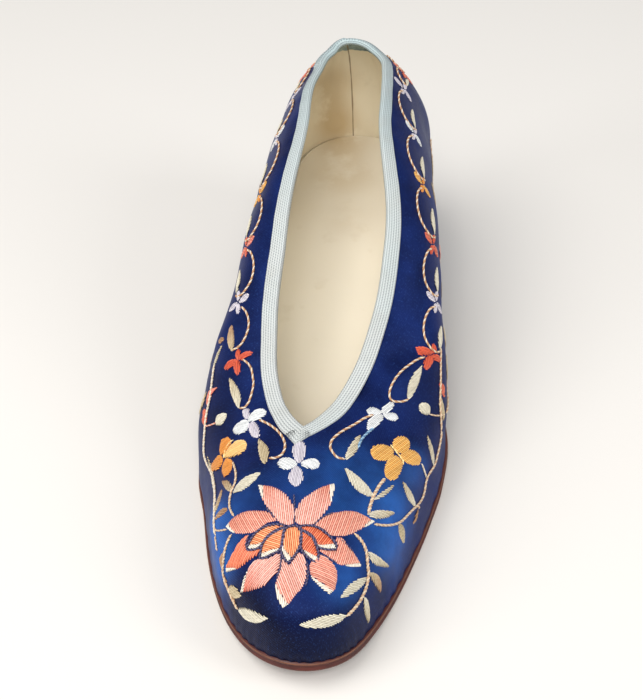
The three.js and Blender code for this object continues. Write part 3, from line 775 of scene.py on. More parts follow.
def make_braid():
    base = smooth_line(BRAID_CURVE, 0.17)
    tangent = np.gradient(base, axis=0)
    normal = unit(np.stack([tangent[:, 1], -tangent[:, 0]], -1)) * -1
    run = run_of(base)
    wave = np.abs(np.sin(np.pi * run / BRAID_CORD)) ** 0.7
    ends = np.clip(np.minimum(run, run[-1] - run) / 0.5, 0, 1)
    rows = base + normal * (CORD_SWELL * wave * ends)[:, None]
    s_tip = THROAT_AT
    start = float(ring_at(s_tip))
    near = start + (float(ring_at(s_tip + 0.11)) - start) * np.linspace(0, 1, 60) ** 1.3
    far = np.linspace(near[-1], 1.0, 190)[1:]
    heel = np.linspace(1.0, 1.5, 70)[1:]
    left = np.concatenate([near, far, heel])
    ring = np.concatenate([left, (3 - left[::-1])[1:-1]])
    up = edge_up(ring)
    up[0] = 1.0
    at = skin(ring, up)
    n = skin_normal(ring, up)
    e = 2e-3
    run_dir = skin(ring + e, edge_up(ring + e)) - skin(ring - e, edge_up(ring - e))
    down = unit(np.cross(n, run_dir))
    down[0] = (0, -1, 0)
    n[0] = skin_normal(np.array(start), np.array(1.0))
    nxt = skin(ring_at(s_tip + 0.018), collar_up(s_tip + 0.018))
    spread = math.hypot(nxt[0] - at[0, 0], nxt[1] - at[0, 1]) / abs(nxt[0] - at[0, 0])
    reach = np.repeat(rows[None, :, 0], len(ring), 0)
    reach[0] *= spread
    # pulled narrower towards the heel
    slim = 1 - SLIMMER * np.clip((at[:, 1] - 120.0) / 60.0, 0, 1)
    reach[:, rows[:, 0] > 0] *= slim[:, None]
    foot = at[:, None] + down[:, None] * reach[..., None]
    out = np.repeat(n[:, None], len(rows), 1)
    low = rows[:, 0] > 0
    k = np.where(low)[0]
    rr = np.repeat(ring[:, None], len(k), 1)
    uu = np.repeat(up[:, None], len(k), 1)
    side = unit(np.cross(down, n))[:, None]
    at_, down_ = at[:, None], down[:, None]
    r1, u1 = settle(rr[1:], np.minimum(uu[1:], 0.999),
                    lambda q: np.stack([dot(q - at_[1:], side[1:]), dot(q - at_[1:], down_[1:])], -1),
                    np.stack([0 * reach[1:, k], reach[1:, k]], -1), 7)
    foot[1:, k] = skin(r1, u1)
    out[1:, k] = skin_normal(r1, u1)
    tip_ring = ring_at((at[0, 1] - reach[0, k]) / LENGTH)
    foot[0, k] = skin(tip_ring, np.ones(len(k)))
    out[0, k] = skin_normal(tip_ring, np.ones(len(k)))
    # the point leans a little to the inner side
    lean = np.exp(-((at[:, 1] - at[0, 1]) / 5.0) ** 2)[:, None] * np.clip(reach, 0, None) / 4.6
    foot[..., 0] -= POINT_LEAN * lean
    # the two sides meet in a mitre
    order = k[np.argsort(-foot[0, k, 1])]
    mitre = foot[0, order]
    for i in range(1, len(ring)):
        if min(ring[i], 3 - ring[i]) > float(ring_at(THROAT_AT + 0.06)):
            continue
        x_at = np.interp(-foot[i, :, 1], -mitre[:, 1], mitre[:, 0])
        z_at = np.interp(-foot[i, :, 1], -mitre[:, 1], mitre[:, 2])
        past = (foot[i, :, 0] > x_at) if ring[i] < 1.5 else (foot[i, :, 0] < x_at)
        past &= low & (foot[i, :, 1] < mitre[0, 1])
        foot[i, past, 0], foot[i, past, 2] = x_at[past], z_at[past]
    p = foot + out * rows[None, :, 1:2]
    # inside the point of the V both sides meet on the centre line
    middle = BALL_WIDTH * swing_share(p[..., 1] / LENGTH)
    medial = (ring < 1.5)[:, None]
    over = np.where(medial, p[..., 0] > middle, p[..., 0] < middle) & (ring_at(0.36) > np.minimum(ring,
                                                                                                  3 - ring))[:, None]
    over &= ~low[None, :]
    p = np.where(over[..., None], p[:1], p)
    length = run_of(at)
    # a lapped join on the inner side, and small unevenness along the way
    lap_at = length[np.argmin(np.abs(ring - float(ring_at(LAP_AT))))]
    lap = np.clip((length - lap_at) / 0.8, 0, 1) * np.clip((lap_at + LAP_LONG - length) / 0.8, 0, 1)
    uneven = 0.05 * np.sin(length * 0.35) + 0.04 * np.sin(length * 0.83 + 1.0)
    mound = np.clip(rows[:, 1], 0, 0.6) / 0.6
    p = p + out * ((0.45 * lap + uneven)[:, None] * mound[None, :])[..., None]
    # the knit is measured from the point of the V, alike on both sides
    whole = length[-1] + np.linalg.norm(at[0] - at[-1])
    along = np.minimum(length, whole - length)[:, None] + np.linalg.norm(p[1] - p[0], axis=-1)[None, :]
    along[0] = 0
    uv = np.stack(np.broadcast_arrays(along, run[None, :]), -1)
    quads = grid_quads(len(ring), len(rows), closed=True)
    piece("collar_braid_knit", p, quads, BRAID, uv, replaces=["collar_braid"])


def across_grid(ring_half, out, height, m, crown=0.0):
    """A face under the foot, from side to side, as n by m points."""
    ax, ay, a_s = feather(ring_half, out)
    bx, by, b_s = feather(3 - ring_half, out)
    t = np.linspace(0, 1, m)[None, :]
    x = ax[:, None] * (1 - t) + bx[:, None] * t
    y = ay[:, None] * (1 - t) + by[:, None] * t
    s = a_s[:, None] * (1 - t) + b_s[:, None] * t
    return np.stack([x, y, height(s) + crown * (1 - (2 * t - 1) ** 6) + 0 * x], -1)


def half_rings(n):
    return np.concatenate([np.linspace(0.004, 1.0, int(n * 0.8)), np.linspace(1.0, 1.5, int(n * 0.2))[1:]])


def plate_rows(ring, rows):
    points = []
    for out, height in rows:
        x, y, s = feather(ring, out)
        points.append(np.stack([x, y, height(s)], -1))
    return np.stack(points, 1)


def make_insole():
    edge = -(LINING_DEPTH + 0.15)
    half = half_rings(240)
    full = both_sides(half)
    m = 46
    top = across_grid(half, edge - 0.9, lambda s: feather_height(s) + INSOLE_THICK - 0.18, m, 0.16)
    dent = 0.10 * np.sin(top[..., 0] * 0.21 + 1.0) * np.sin(top[..., 1] * 0.13)
    top[..., 2] += dent * np.sin(np.linspace(0, np.pi, m))[None, :]
    rim = plate_rows(full, [(edge + 0.15, feather_height), (edge + 0.15, lambda s: feather_height(s) + 1.2),
                            (edge - 0.25, lambda s: feather_height(s) + 1.62),
                            (edge - 0.9, lambda s: feather_height(s) + INSOLE_THICK - 0.18)])
    verts = np.concatenate([rim.reshape(-1, 3), top.reshape(-1, 3)])
    quads = np.concatenate([grid_quads(len(full), 4, closed=True),
                            grid_quads(len(half), m, first=rim.shape[0] * 4)[:, ::-1]])
    sock = piece("insole_sock", verts, quads, SOCK, verts[:, :2], replaces=["insole"], weld=0.003)


def make_outsole():
    half = half_rings(260)
    full = both_sides(half)
    m = SOLE_MARGIN

    def top(s):
        return feather_height(s) - GAP

    def low(s):
        return top(s) - sole_thickness(s)
    rim = plate_rows(full, [(m - 0.5, low), (m - 0.1, lambda s: low(s) + 0.18), (m, lambda s: low(s) + 0.5),
                            (m - 0.02, lambda s: low(s) + 0.95), (m - 0.38, lambda s: low(s) + 1.15),
                            (m - 0.42, lambda s: low(s) + 1.5), (m - 0.38, lambda s: top(s) - 0.95),
                            (m - 0.1, lambda s: top(s) - 0.75), (m, lambda s: top(s) - 0.4),
                            (m - 0.25, lambda s: top(s) - 0.05), (m - 1.2, top), (m - 4.5, top)])
    bottom = across_grid(half, m - 0.5, low, 40)
    seat = across_grid(half, m - 4.5, top, 12)
    verts = np.concatenate([rim.reshape(-1, 3), bottom.reshape(-1, 3), seat.reshape(-1, 3)])
    a = rim.shape[0] * rim.shape[1]
    b = a + bottom.shape[0] * bottom.shape[1]
    quads = np.concatenate([grid_quads(len(full), rim.shape[1], closed=True),
                            grid_quads(len(half), 40, first=a), grid_quads(len(half), 12, first=b)[:, ::-1]])
    ob = piece("outsole_leather", verts, quads, SOLE, verts[:, :2], replaces=["outsole"],
               weld=0.003)
    ob.data.materials.append(TREAD)
    ob.data.materials.append(EDGE)
    centre = np.empty(len(ob.data.polygons) * 3)
    ob.data.polygons.foreach_get("normal", centre)
    which = np.zeros(len(centre) // 3, np.int32)
    rows = rim.shape[1] - 1
    row = np.arange(rows * len(full)) % rows
    which[:len(row)][np.isin(row, (1, 8))] = 2
    which[(centre.reshape(-1, 3)[:, 2] < -0.8)] = 1
    ob.data.polygons.foreach_set("material_index", which)


HEEL_STEPS = 26


def heel_plan(share, sides=26, back=60, front=16):
    """Plan of the heel, 0 under the outsole and 1 on the top lift, as in the solid."""
    start = float(ring_at(HEEL_BREAST_AT))
    rings = np.concatenate([np.linspace(start, 1, sides, endpoint=False), np.linspace(1, 2, back + 2),
                            3 - np.linspace(start, 1, sides, endpoint=False)[::-1]])
    x, y, s = feather(rings, SOLE_MARGIN - HEEL_INSET)
    middle = (x[0] + x[-1]) / 2
    t = np.linspace(-1, 1, front + 2)[1:-1]
    bow = np.stack([middle + (x[0] - x[-1]) / 2 * t, y[0] + 1.5 * (1 - t * t), np.full(front, s[0])], -1)
    edge = np.concatenate([bow, np.stack([x, y, s], -1)])
    reach = edge[:, 1].max()
    waist = 1 - (1 - share) ** 1.7
    deep = np.clip((edge[:, 1] - y[0]) / (reach - y[0]), 0, 1)
    shift = HEEL_FOOT_FRONT + (-HEEL_FOOT_BACK - HEEL_FOOT_FRONT) * deep
    px = middle + (edge[:, 0] - middle) * (1 + (HEEL_FOOT_WIDTH - 1) * waist)
    return np.stack([px, edge[:, 1] + shift * waist, edge[:, 1]], -1), middle


def make_heel():
    shares = np.linspace(1, 0, HEEL_STEPS)
    rows = []
    for share in shares:
        plan, middle = heel_plan(share)
        top = feather_height(np.clip((plan[:, 2] + 0.6) / LENGTH, 0, 1)) - 2 * GAP - SHANK_THICK
        low = LIFT_THICK + GAP
        rows.append(np.stack([plan[:, 0], plan[:, 1], top + (low - top) * share], -1))
    p = np.stack(rows, 1)
    n = len(p)
    around = np.arange(n)[:, None] * 0.55
    centre = np.array([middle, 195.0, 0.0])
    out = unit((p - centre) * np.array([1, 1, 0]))
    fold = np.exp(-((shares[None, :] - 0.02) / 0.05) ** 2) + np.exp(-((shares[None, :] - 0.98) / 0.05) ** 2)
    p = p + out * (0.10 * np.sin(around * 1.9) * fold)[..., None]
    p = p + out * (0.06 * np.sin(p[..., 2] * 0.31 + around * 0.3))[..., None]
    quads = grid_quads(n, HEEL_STEPS, closed=True)
    run = run_of(p[:, -1])
    uv = np.stack(np.broadcast_arrays(run[:, None], p[..., 2]), -1)
    # closed above and below by a fan
    ends = []
    for column, order in ((0, 1), (HEEL_STEPS - 1, -1)):
        c = p[:, column].mean(0)
        idx = n * HEEL_STEPS + len(ends)
        ends.append((c, column, order, idx))
    verts = np.concatenate([p.reshape(-1, 3)] + [e[0][None] for e in ends])
    caps = []
    for _, column, order, idx in ends:
        for i in range(0, n - 1, 2):
            q = [((i + j) % n) * HEEL_STEPS + column for j in (0, 1, 2)] + [idx]
            caps.append(q if order > 0 else q[::-1])
    uv = np.concatenate([uv.reshape(-1, 2), np.zeros((2, 2))])
    piece("heel_cover", verts, np.concatenate([quads[:, ::-1], np.array(caps)]), HEEL_SATIN, uv,
          replaces=["heel"])


def make_lift():
    plan, middle = heel_plan(1.0)
    centre = (plan[0, 1] + plan[:, 1].max()) / 2
    rows = []
    levels = [(0.93, 0.0), (0.975, 0.0), (0.993, 0.35), (1.0, 0.9), (1.0, 1.75), (0.992, 1.9), (0.992, 2.0),
              (1.0, 2.15), (1.0, 3.6), (0.992, 3.75), (0.992, 3.85), (1.0, 4.0), (1.0, 5.1), (0.99, LIFT_THICK),
              (0.9, LIFT_THICK)]
    for grow, z in levels:
        rows.append(np.stack([middle + (plan[:, 0] - middle) * grow, centre + (plan[:, 1] - centre) * grow,
                              np.full(len(plan), z)], -1))
    p = np.stack(rows, 1)
    n, k = p.shape[:2]
    verts = np.concatenate([p.reshape(-1, 3), p[:, 0].mean(0)[None], p[:, -1].mean(0)[None]])
    caps = []
    for i in range(0, n - 1, 2):
        caps.append([i * k, (i + 1) * k, ((i + 2) % n) * k, n * k])
        caps.append([((i + 2) % n) * k + k - 1, (i + 1) * k + k - 1, i * k + k - 1, n * k + 1])
    piece("heel_top_lift_leather", verts, np.concatenate([grid_quads(n, k, closed=True)[:, ::-1],
                                                          np.array(caps)]),
          SOLE, verts[:, :2], replaces=["heel_top_lift"])


make_upper()
make_lining()
make_braid()
make_insole()
make_outsole()
make_heel()
make_lift()

# Embroidery. The well-seen part of the pattern is drawn as it looks from the viewing place, in
# the drawing's own units, and laid on the satin from there. The rest is drawn flat, in millimetres.
class Patch:
    """A flat bit of pattern laid on the satin: x runs towards the heel, y towards the collar."""

    def __init__(self, ring, up):
        self.ring, self.up = float(ring), min(float(up), 0.998)
        self.at = skin(self.ring, self.up)
        self.n = skin_normal(self.ring, self.up)
        e = 1e-3
        x = skin(self.ring + e, self.up) - skin(self.ring - e, self.up)
        self.inner = np.mod(self.ring, 3) <= 1.5
        x = unit(x if self.inner else -x)
        y = skin(self.ring, self.up + e) - skin(self.ring, self.up - e)
        self.x = unit(x - self.n * (x @ self.n))
        self.y = unit(y - self.n * (y @ self.n) - self.x * (y @ self.x))

    def flat(self, p):
        return np.stack([(p - self.at) @ self.x, (p - self.at) @ self.y], -1)

    def places(self, xy):
        xy = np.asarray(xy, float)
        r = np.full(len(xy), self.ring)
        return settle(r, np.full(len(xy), self.up), self.flat, xy, 8)


class Sewing:
    """Collects stitches, then makes one piece of them."""

    def __init__(self, name, mat):
        self.name, self.mat = name, mat
        self.verts, self.quads, self.tint, self.count = [], [], [], 0

    def add(self, verts, quads, tint):
        self.verts.append(verts)
        self.quads.append(np.asarray(quads) + self.count)
        self.tint.append(tint)
        self.count += len(verts)

    def sew(self):
        piece(self.name, np.concatenate(self.verts), np.concatenate(self.quads), self.mat,
              tint=np.concatenate(self.tint))


DICE = np.random.default_rng(7)
ACROSS_THREAD = np.array([-0.52, -0.27, 0.0, 0.27, 0.52])
THREAD_ROUND = np.array([-0.05, 0.75, 1.0, 0.75, -0.05])
THREAD_THICK = 0.16
SHORTEST = 0.3
STITCH_STEP = 0.6
LEAF_STITCH = {"pad": 0.2, "pitch": 0.42, "jag": 0.2}
BUD_STITCH = {"pad": 0.22, "pitch": 0.44}


def spans(shape, y):
    """Where a level line enters and leaves a closed shape."""
    a, b = shape, np.roll(shape, -1, 0)
    hit = (a[:, 1] <= y) != (b[:, 1] <= y)
    a, b = a[hit], b[hit]
    xs = np.sort(a[:, 0] + (y - a[:, 1]) / (b[:, 1] - a[:, 1]) * (b[:, 0] - a[:, 0]))
    return xs.reshape(-1, 2) if len(xs) % 2 == 0 else xs[:-1].reshape(-1, 2)


def fill(sewing, patch, shape, lean, silk, pitch=0.55, pad=0.30, jag=0.14, far=None, base=0.02):
    """Satin stitches over a shape in the patch. lean is their angle in degrees; silk has a painted highlight
    for the crest of a thread, its body colour, and painted shade for the gap beside it. far = (point, point,
    silk) shades from one place to another."""
    c, s = math.cos(math.radians(lean)), math.sin(math.radians(lean))
    back_turn = np.array([[c, s], [-s, c]])
    level = shape @ back_turn.T
    rows = np.arange(level[:, 1].min() + pitch * 0.35, level[:, 1].max(), pitch)
    xy, lift, tint, quads, first = [], [], [], [], 0
    for k, y in enumerate(rows):
        for xa, xb in spans(level, y):
            if xb - xa < SHORTEST:
                continue
            xa -= DICE.uniform(-0.3, 1) * jag
            xb += DICE.uniform(-0.3, 1) * jag
            n = max(5, int((xb - xa) / STITCH_STEP) + 2)
            x = xa + (xb - xa) * np.linspace(0, 1, n)
            end = np.minimum(x - xa, xb - x)
            h = base + pad * (1 - np.exp(-end / 0.55)) + DICE.uniform(-0.02, 0.02)
            body = THREAD_THICK * np.clip(end / 0.12 + 0.15, 0, 1)
            px = np.repeat(x[:, None], 5, 1)
            py = y + ACROSS_THREAD[None, :] * pitch + 0.03 * np.sin(x * 1.7 + k)[:, None]
            xy.append(np.stack([px, py], -1).reshape(-1, 2))
            lift.append((h[:, None] + body[:, None] * THREAD_ROUND[None, :]).ravel())
            # a painted highlight on the crest of each thread and painted shade at its sides, the highlight weaker and
            # the shade stronger on every other row
            odd = k % 2
            crest_highlight = 0.85 - 0.45 * odd + DICE.uniform(-0.2, 0.15)
            side = 0.25 + 0.40 * odd
            # painted shade in the gap between two threads, in dashes
            dash = side * (0.55 + 0.75 * np.sin(x * 4.2 + 2.4 * k)).clip(0, 1.3)
            shares = np.zeros((n, 5, 3))
            shares[:, (0, 4), 2] = 1
            shares[:, (1, 3), 2], shares[:, (1, 3), 1] = dash[:, None], 1 - dash[:, None]
            shares[:, 2, 0], shares[:, 2, 1] = crest_highlight, 1 - crest_highlight
            one = shares @ np.array(silk)
            if far is not None:
                start, stop, other = far
                axis = np.asarray(stop) - np.asarray(start)
                w = (np.stack([px[:, 2], py[:, 2]], -1) @ back_turn - start) @ axis / (axis @ axis)
                w = np.clip(w + DICE.uniform(-0.12, 0.12), 0, 1)[:, None, None]
                one = one * (1 - w) + (shares @ np.array(other)) * w
            tint.append(one.reshape(-1, 3) * (1 + 0.06 * DICE.standard_normal()))
            quads.append(grid_quads(n, 5, first=first))
            first += 5 * n
    if not xy:
        return
    r, u = patch.places(np.concatenate(xy) @ back_turn)
    quads = np.concatenate(quads)
    sewing.add(cloth(r, u, np.concatenate(lift)), quads if patch.inner else quads[:, ::-1],
               np.clip(np.concatenate(tint), 0, 1))


def strand(sewing, r, u, thick, silk, pitch=1.9):
    """A cord laid along a line of places, its plies twisted together."""
    plies = len(silk)
    p = skin(r, u)
    n = skin_normal(r, u)
    base = p + n * relief(p, r, u)[:, None]
    t = unit(np.gradient(base, axis=0))
    b = np.cross(n, t)
    run = run_of(base)
    taper = np.clip(np.minimum(run, run[-1] - run) / 1.0 + 0.35, 0, 1)
    k = 6
    ang = np.linspace(0, 2 * np.pi, k, endpoint=False)
    ringed = b[:, None] * np.cos(ang)[None, :, None] + n[:, None] * np.sin(ang)[None, :, None]
    wobble = 1 + 0.10 * np.sin(run * 2.1 + r[0] * 40) + 0.08 * np.sin(run * 4.7)
    i, j = np.meshgrid(np.arange(len(base) - 1), np.arange(k), indexing="ij")
    i, j = i.ravel(), j.ravel()
    quads = np.stack([i * k + j, (i + 1) * k + j, (i + 1) * k + (j + 1) % k, i * k + (j + 1) % k], -1)
    for ply, tone in enumerate(silk):
        phase = 2 * np.pi * (run / pitch + ply / plies)
        off = (thick * 0.26 * taper)[:, None]
        centre = base + (b * np.cos(phase)[:, None] + n * np.sin(phase)[:, None] * 0.7) * off
        centre = centre + n * (thick * 0.34 * taper)[:, None]
        v = centre[:, None] + ringed * (thick * (0.34 if plies < 3 else 0.29) * taper * wobble)[:, None, None]
        sewing.add(v.reshape(-1, 3), quads, np.tile(tone, (len(base) * k, 1)))


def outline_cord(patch, shape, out, thick, silk):
    """A dark cord couched round a shape, this far outside it."""
    t = unit(np.roll(shape, -1, 0) - np.roll(shape, 1, 0))
    side = np.stack([-t[:, 1], t[:, 0]], -1)
    side *= np.sign(dot(side, shape - shape.mean(0)).sum())
    line = smooth_line(shape + side * out, 0.35, closed=True)
    r, u = patch.places(line)
    strand(vines, r, u, thick, silk, 1.1)


def tones(*rows):
    return [colour(*row) for row in rows]


# Silks for stitches: a painted highlight for the crest of a thread, the thread's own colour, and painted shade for the
# gap; for cords, the colours of their plies
PINK = tones((248, 208, 186), (232, 156, 132), (176, 66, 50))
ROSE = tones((248, 224, 210), (236, 176, 158), (188, 88, 72))
SALMON = tones((244, 188, 160), (224, 130, 102), (164, 56, 40))
CORAL_RED = tones((240, 160, 128), (218, 100, 72), (160, 44, 28))
FLAME = tones((252, 186, 146), (234, 124, 84), (192, 66, 36))
ORANGE = tones((255, 220, 168), (236, 144, 90), (196, 76, 30))
RUST = tones((246, 168, 122), (222, 102, 58), (170, 46, 18))
IVORY = tones((255, 252, 242), (240, 230, 212), (196, 182, 160))
WHITE = tones((252, 252, 250), (232, 232, 230), (168, 174, 178))
LILAC = tones((242, 238, 242), (214, 206, 212), (152, 144, 162))
YELLOW = tones((255, 224, 146), (234, 174, 84), (190, 116, 34))
AMBER = tones((250, 186, 88), (226, 140, 48), (172, 86, 16))
PALE_YELLOW = tones((255, 238, 176), (238, 194, 116), (196, 130, 52))
VERMILION = tones((242, 132, 92), (216, 78, 46), (150, 30, 14))
CORAL = tones((252, 184, 160), (228, 130, 108), (178, 76, 62))
CREAM = tones((252, 248, 230), (222, 214, 192), (156, 146, 120))
TAN = tones((232, 218, 186), (198, 180, 142), (132, 108, 74))
BARK = tones((214, 174, 132), (176, 130, 90), (112, 70, 42))
VINE = tones((226, 204, 174), (202, 164, 130))
PALE_VINE = tones((236, 226, 206), (214, 192, 166))
LOOP = tones((184, 136, 96), (204, 158, 116), (238, 226, 206))
PLUM = tones((96, 90, 124), (38, 26, 60))
ICE = tones((150, 184, 208), (96, 134, 170))
TIP_OF = {id(CREAM): TAN, id(TAN): BARK}

petals = Sewing("embroidery_lotus", SILK)
flowers = Sewing("embroidery_flowers", SILK)
leaves = Sewing("embroidery_leaves", SILK)
vines = Sewing("embroidery_vines", CORD)


def drawn(outline_points):
    """A drawn outline with a sharp tip at its first point, as a patch and a flat shape."""
    line = smooth_shape(outline_points, 0.9)
    r, u = chart(line)
    mr, mu = chart([line.mean(0)])
    patch = Patch(mr[0], mu[0])
    return patch, patch.flat(skin(r, u)), line


def lean_of(patch, line, direction):
    """The angle in the patch of a direction that was read off the drawing."""
    middle = line.mean(0)
    d = np.asarray(direction, float)
    d = 4.0 * d / np.linalg.norm(d)
    r, u = chart([middle - d, middle + d])
    a, b = patch.flat(skin(r, u))
    return math.degrees(math.atan2(b[1] - a[1], b[0] - a[0]))


def split_tip(shape, side, reach, wide):
    """Parts a shape into a strip along one side of its tip, and the rest. side is 1 where the
    strip follows the shape's own order, -1 against it. The tip is the first point."""
    pts = shape if side > 0 else np.concatenate([shape[:1], shape[:0:-1]])
    run = run_of(pts)
    last = int(np.searchsorted(run, reach))
    last = min(max(last, 3), len(pts) // 2 + 4)
    back = run_of(pts[::-1])
    other = len(pts) - 1 - int(np.searchsorted(back, wide * 0.9))
    edge = pts[:last + 1]
    start = pts[other]
    centre = pts.mean(0)
    t = np.linspace(0, 1, len(edge))
    tangent = unit(np.gradient(edge, axis=0))
    inward = np.stack([-tangent[:, 1], tangent[:, 0]], -1)
    inward = inward * np.sign(dot(inward, centre - edge).sum())
    inner = edge + inward * (wide * (1 - t ** 2.2))[:, None]
    inner[0] = start
    inner = np.concatenate([inner[:1], inner[2:]])
    strip = np.concatenate([edge, inner[::-1], pts[other + 1:]])
    rest = np.concatenate([inner, pts[last + 1:other + 1]])
    return strip, rest


# Lotus: outline from the tip, thread direction, silk, silk at the tip, white strip (side, length, width)
LOTUS = [
    ("one", [(120, 487.5), (125.5, 488), (135, 489.5), (145, 494.5), (151.7, 501), (156, 509), (157.2, 519),
             (156.6, 526.5),
             (151.7, 528.6), (145, 527.5), (138.3, 522), (132.8, 514), (128.3, 509), (124, 501), (121.7, 494)],
     (0.10, 1.0), ROSE, SALMON, (-1, 5.2, 1.25)),
    ("two", [(199, 485.5), (194, 487), (185, 490), (176, 495.5), (167, 502), (161.7, 509), (159, 515.5),
             (158.4, 523),
             (161, 527.5), (171, 529), (178, 527.4), (185, 520.4), (190.5, 514), (195, 507), (197, 500),
             (199, 492)],
     (0.22, -1.0), ROSE, SALMON, (-1, 6.6, 1.2)),
    ("three", [(86, 531), (91.7, 524), (98.3, 519), (107, 515.5), (118.3, 514.4), (129.4, 515.5), (136, 521),
               (138.3, 524.4),
               (129.4, 526.7), (121.7, 532), (115, 536.7), (107, 538), (96, 538), (90.5, 535.5)],
     (0.5, 0.86), PINK, SALMON, (-1, 5.6, 1.0)),
    ("four", [(242, 524), (234, 529), (227, 532), (218, 536.7), (209.4, 539.2), (200.5, 539.8), (195, 538.4),
              (190.5, 534.4),
              (185, 530.8), (180, 528.6), (187, 521.4), (196, 517), (205, 515), (214, 514), (223, 515),
              (231.7, 519), (239, 523)],
     (0.34, -0.94), PINK, PINK, (1, 5.4, 1.0)),
    ("five", [(86.7, 579), (87.8, 572), (91.7, 564), (96, 555.5), (100.5, 548), (106, 542), (109.6, 540.4),
              (108, 547),
              (107.5, 552.5), (111, 556.6), (121.2, 555), (118.9, 560), (112.8, 564.4), (107, 569),
              (100.5, 574), (94, 576.7)],
     (0.42, -0.9), FLAME, FLAME, (-1, 5.6, 1.0)),
    ("six", [(101.7, 600), (103.3, 592), (106, 583), (110.5, 575.5), (116, 567.2), (121.7, 565), (129.4, 564.6),
             (140.5, 559),
             (142.8, 560.6), (142.6, 569), (140, 576.7), (135, 583), (129.4, 590), (121.7, 594.4), (112.8, 597),
             (106, 599)],
     (0.62, -0.78), ROSE, CORAL_RED, (1, 6.2, 1.1)),
    ("seven", [(146, 615), (142.8, 610), (139.4, 602), (138.3, 592), (140.9, 582), (143.4, 574.4), (145, 565),
               (151.7, 570),
               (157, 565), (162.4, 557.6), (166.6, 560.6), (169.4, 568), (170, 576.7), (169, 585.5),
               (165, 594.4), (158.3, 602),
               (151.7, 611)], (0.38, 0.92), ROSE, PINK, (1, 7.6, 1.5)),
    ("eight", [(194.4, 600), (188.3, 596), (181.7, 590), (175.6, 583.3), (174, 575.5), (174.6, 569), (183, 561),
               (190.5, 562.3),
               (196, 567), (200.5, 573), (202, 580), (201.7, 586.7), (200, 594.4), (197, 598)],
     (0.92, 0.4), PINK, PINK, (1, 7.6, 1.4)),
    ("nine", [(227.8, 571), (218, 571.7), (209.4, 570.5), (201.7, 568), (196, 563), (190.6, 559.4), (185, 556),
              (183.4, 554.2),
              (192, 555), (202.4, 554.4), (202, 547), (201.4, 541.6), (208, 542.4), (212.8, 549), (218, 555.5),
              (222.8, 562),
              (226, 568)], (0.30, -0.95), PINK, PINK, (1, 6.6, 1.0)),
    ("inner_a", [(109, 554.4), (112.8, 546.7), (118, 539), (126, 533), (135, 530.4), (145, 530.4), (144.6, 532),
                 (135, 536.6),
                 (127.8, 542.6), (122.2, 550), (117, 553.6)], (0.94, 0.34), ORANGE, ORANGE, (-1, 5.5, 1.25)),
    ("inner_b", [(122.8, 563.3), (124, 556.7), (125.9, 549.4), (130, 542.8), (136.4, 537.6), (145.4, 533.4),
                 (144.9, 542),
                 (143.6, 550), (140.5, 555), (133, 558.8), (128, 561.6)], (0.96, 0.28), ORANGE, ORANGE,
                 (-1, 6.4, 1.3)),
    ("inner_c", [(151, 566.7), (147.4, 561.4), (145, 555), (146, 549), (147.2, 540), (149.8, 533.6),
                 (156, 531.4), (161.3, 532.4),
                 (163.9, 539), (163.5, 546.7), (160.2, 554.4), (156, 561)], (0.10, 1.0), ORANGE, ORANGE,
                 (1, 5.4, 1.4)),
    ("inner_d", [(181, 566.7), (175.4, 563.4), (170, 558.6), (166.4, 553), (165.6, 546.7), (165.4, 540.4),
                 (167.4, 536.6),
                 (173.6, 539.8), (177.9, 545), (179.6, 551.4), (181.3, 558.4)], (0.6, -0.8), RUST, RUST,
                 (1, 5.4, 1.35)),
    ("inner_e", [(200.6, 552.6), (192, 552.9), (184, 551), (180.9, 547.6), (177.4, 540.6), (169.8, 535.2),
                 (165.6, 531.6),
                 (174, 531), (182.8, 533.4), (190.2, 538.6), (195.6, 543.6), (199.6, 549)], (0.6, -0.8), RUST,
                 RUST, (1, 5.8, 1.35)),
]
# Dark cords between the outer petals
SEAMS = [[(157.2, 497), (157.8, 510), (157.6, 528)], [(178, 529.4), (186, 521.8), (198, 515.4)],
         [(138.6, 524.6), (133, 517), (128, 511)],
         [(143.8, 560), (143.2, 572), (139.2, 584)], [(170.6, 566), (172, 580), (169.6, 592)],
         [(184.4, 559), (192, 562.4), (202, 568)],
         [(202.6, 541), (212, 549), (219, 556)], [(110.4, 540), (107.6, 548), (107.6, 554)],
         [(121.8, 556.4), (122.6, 562.4), (130, 563.6)]]
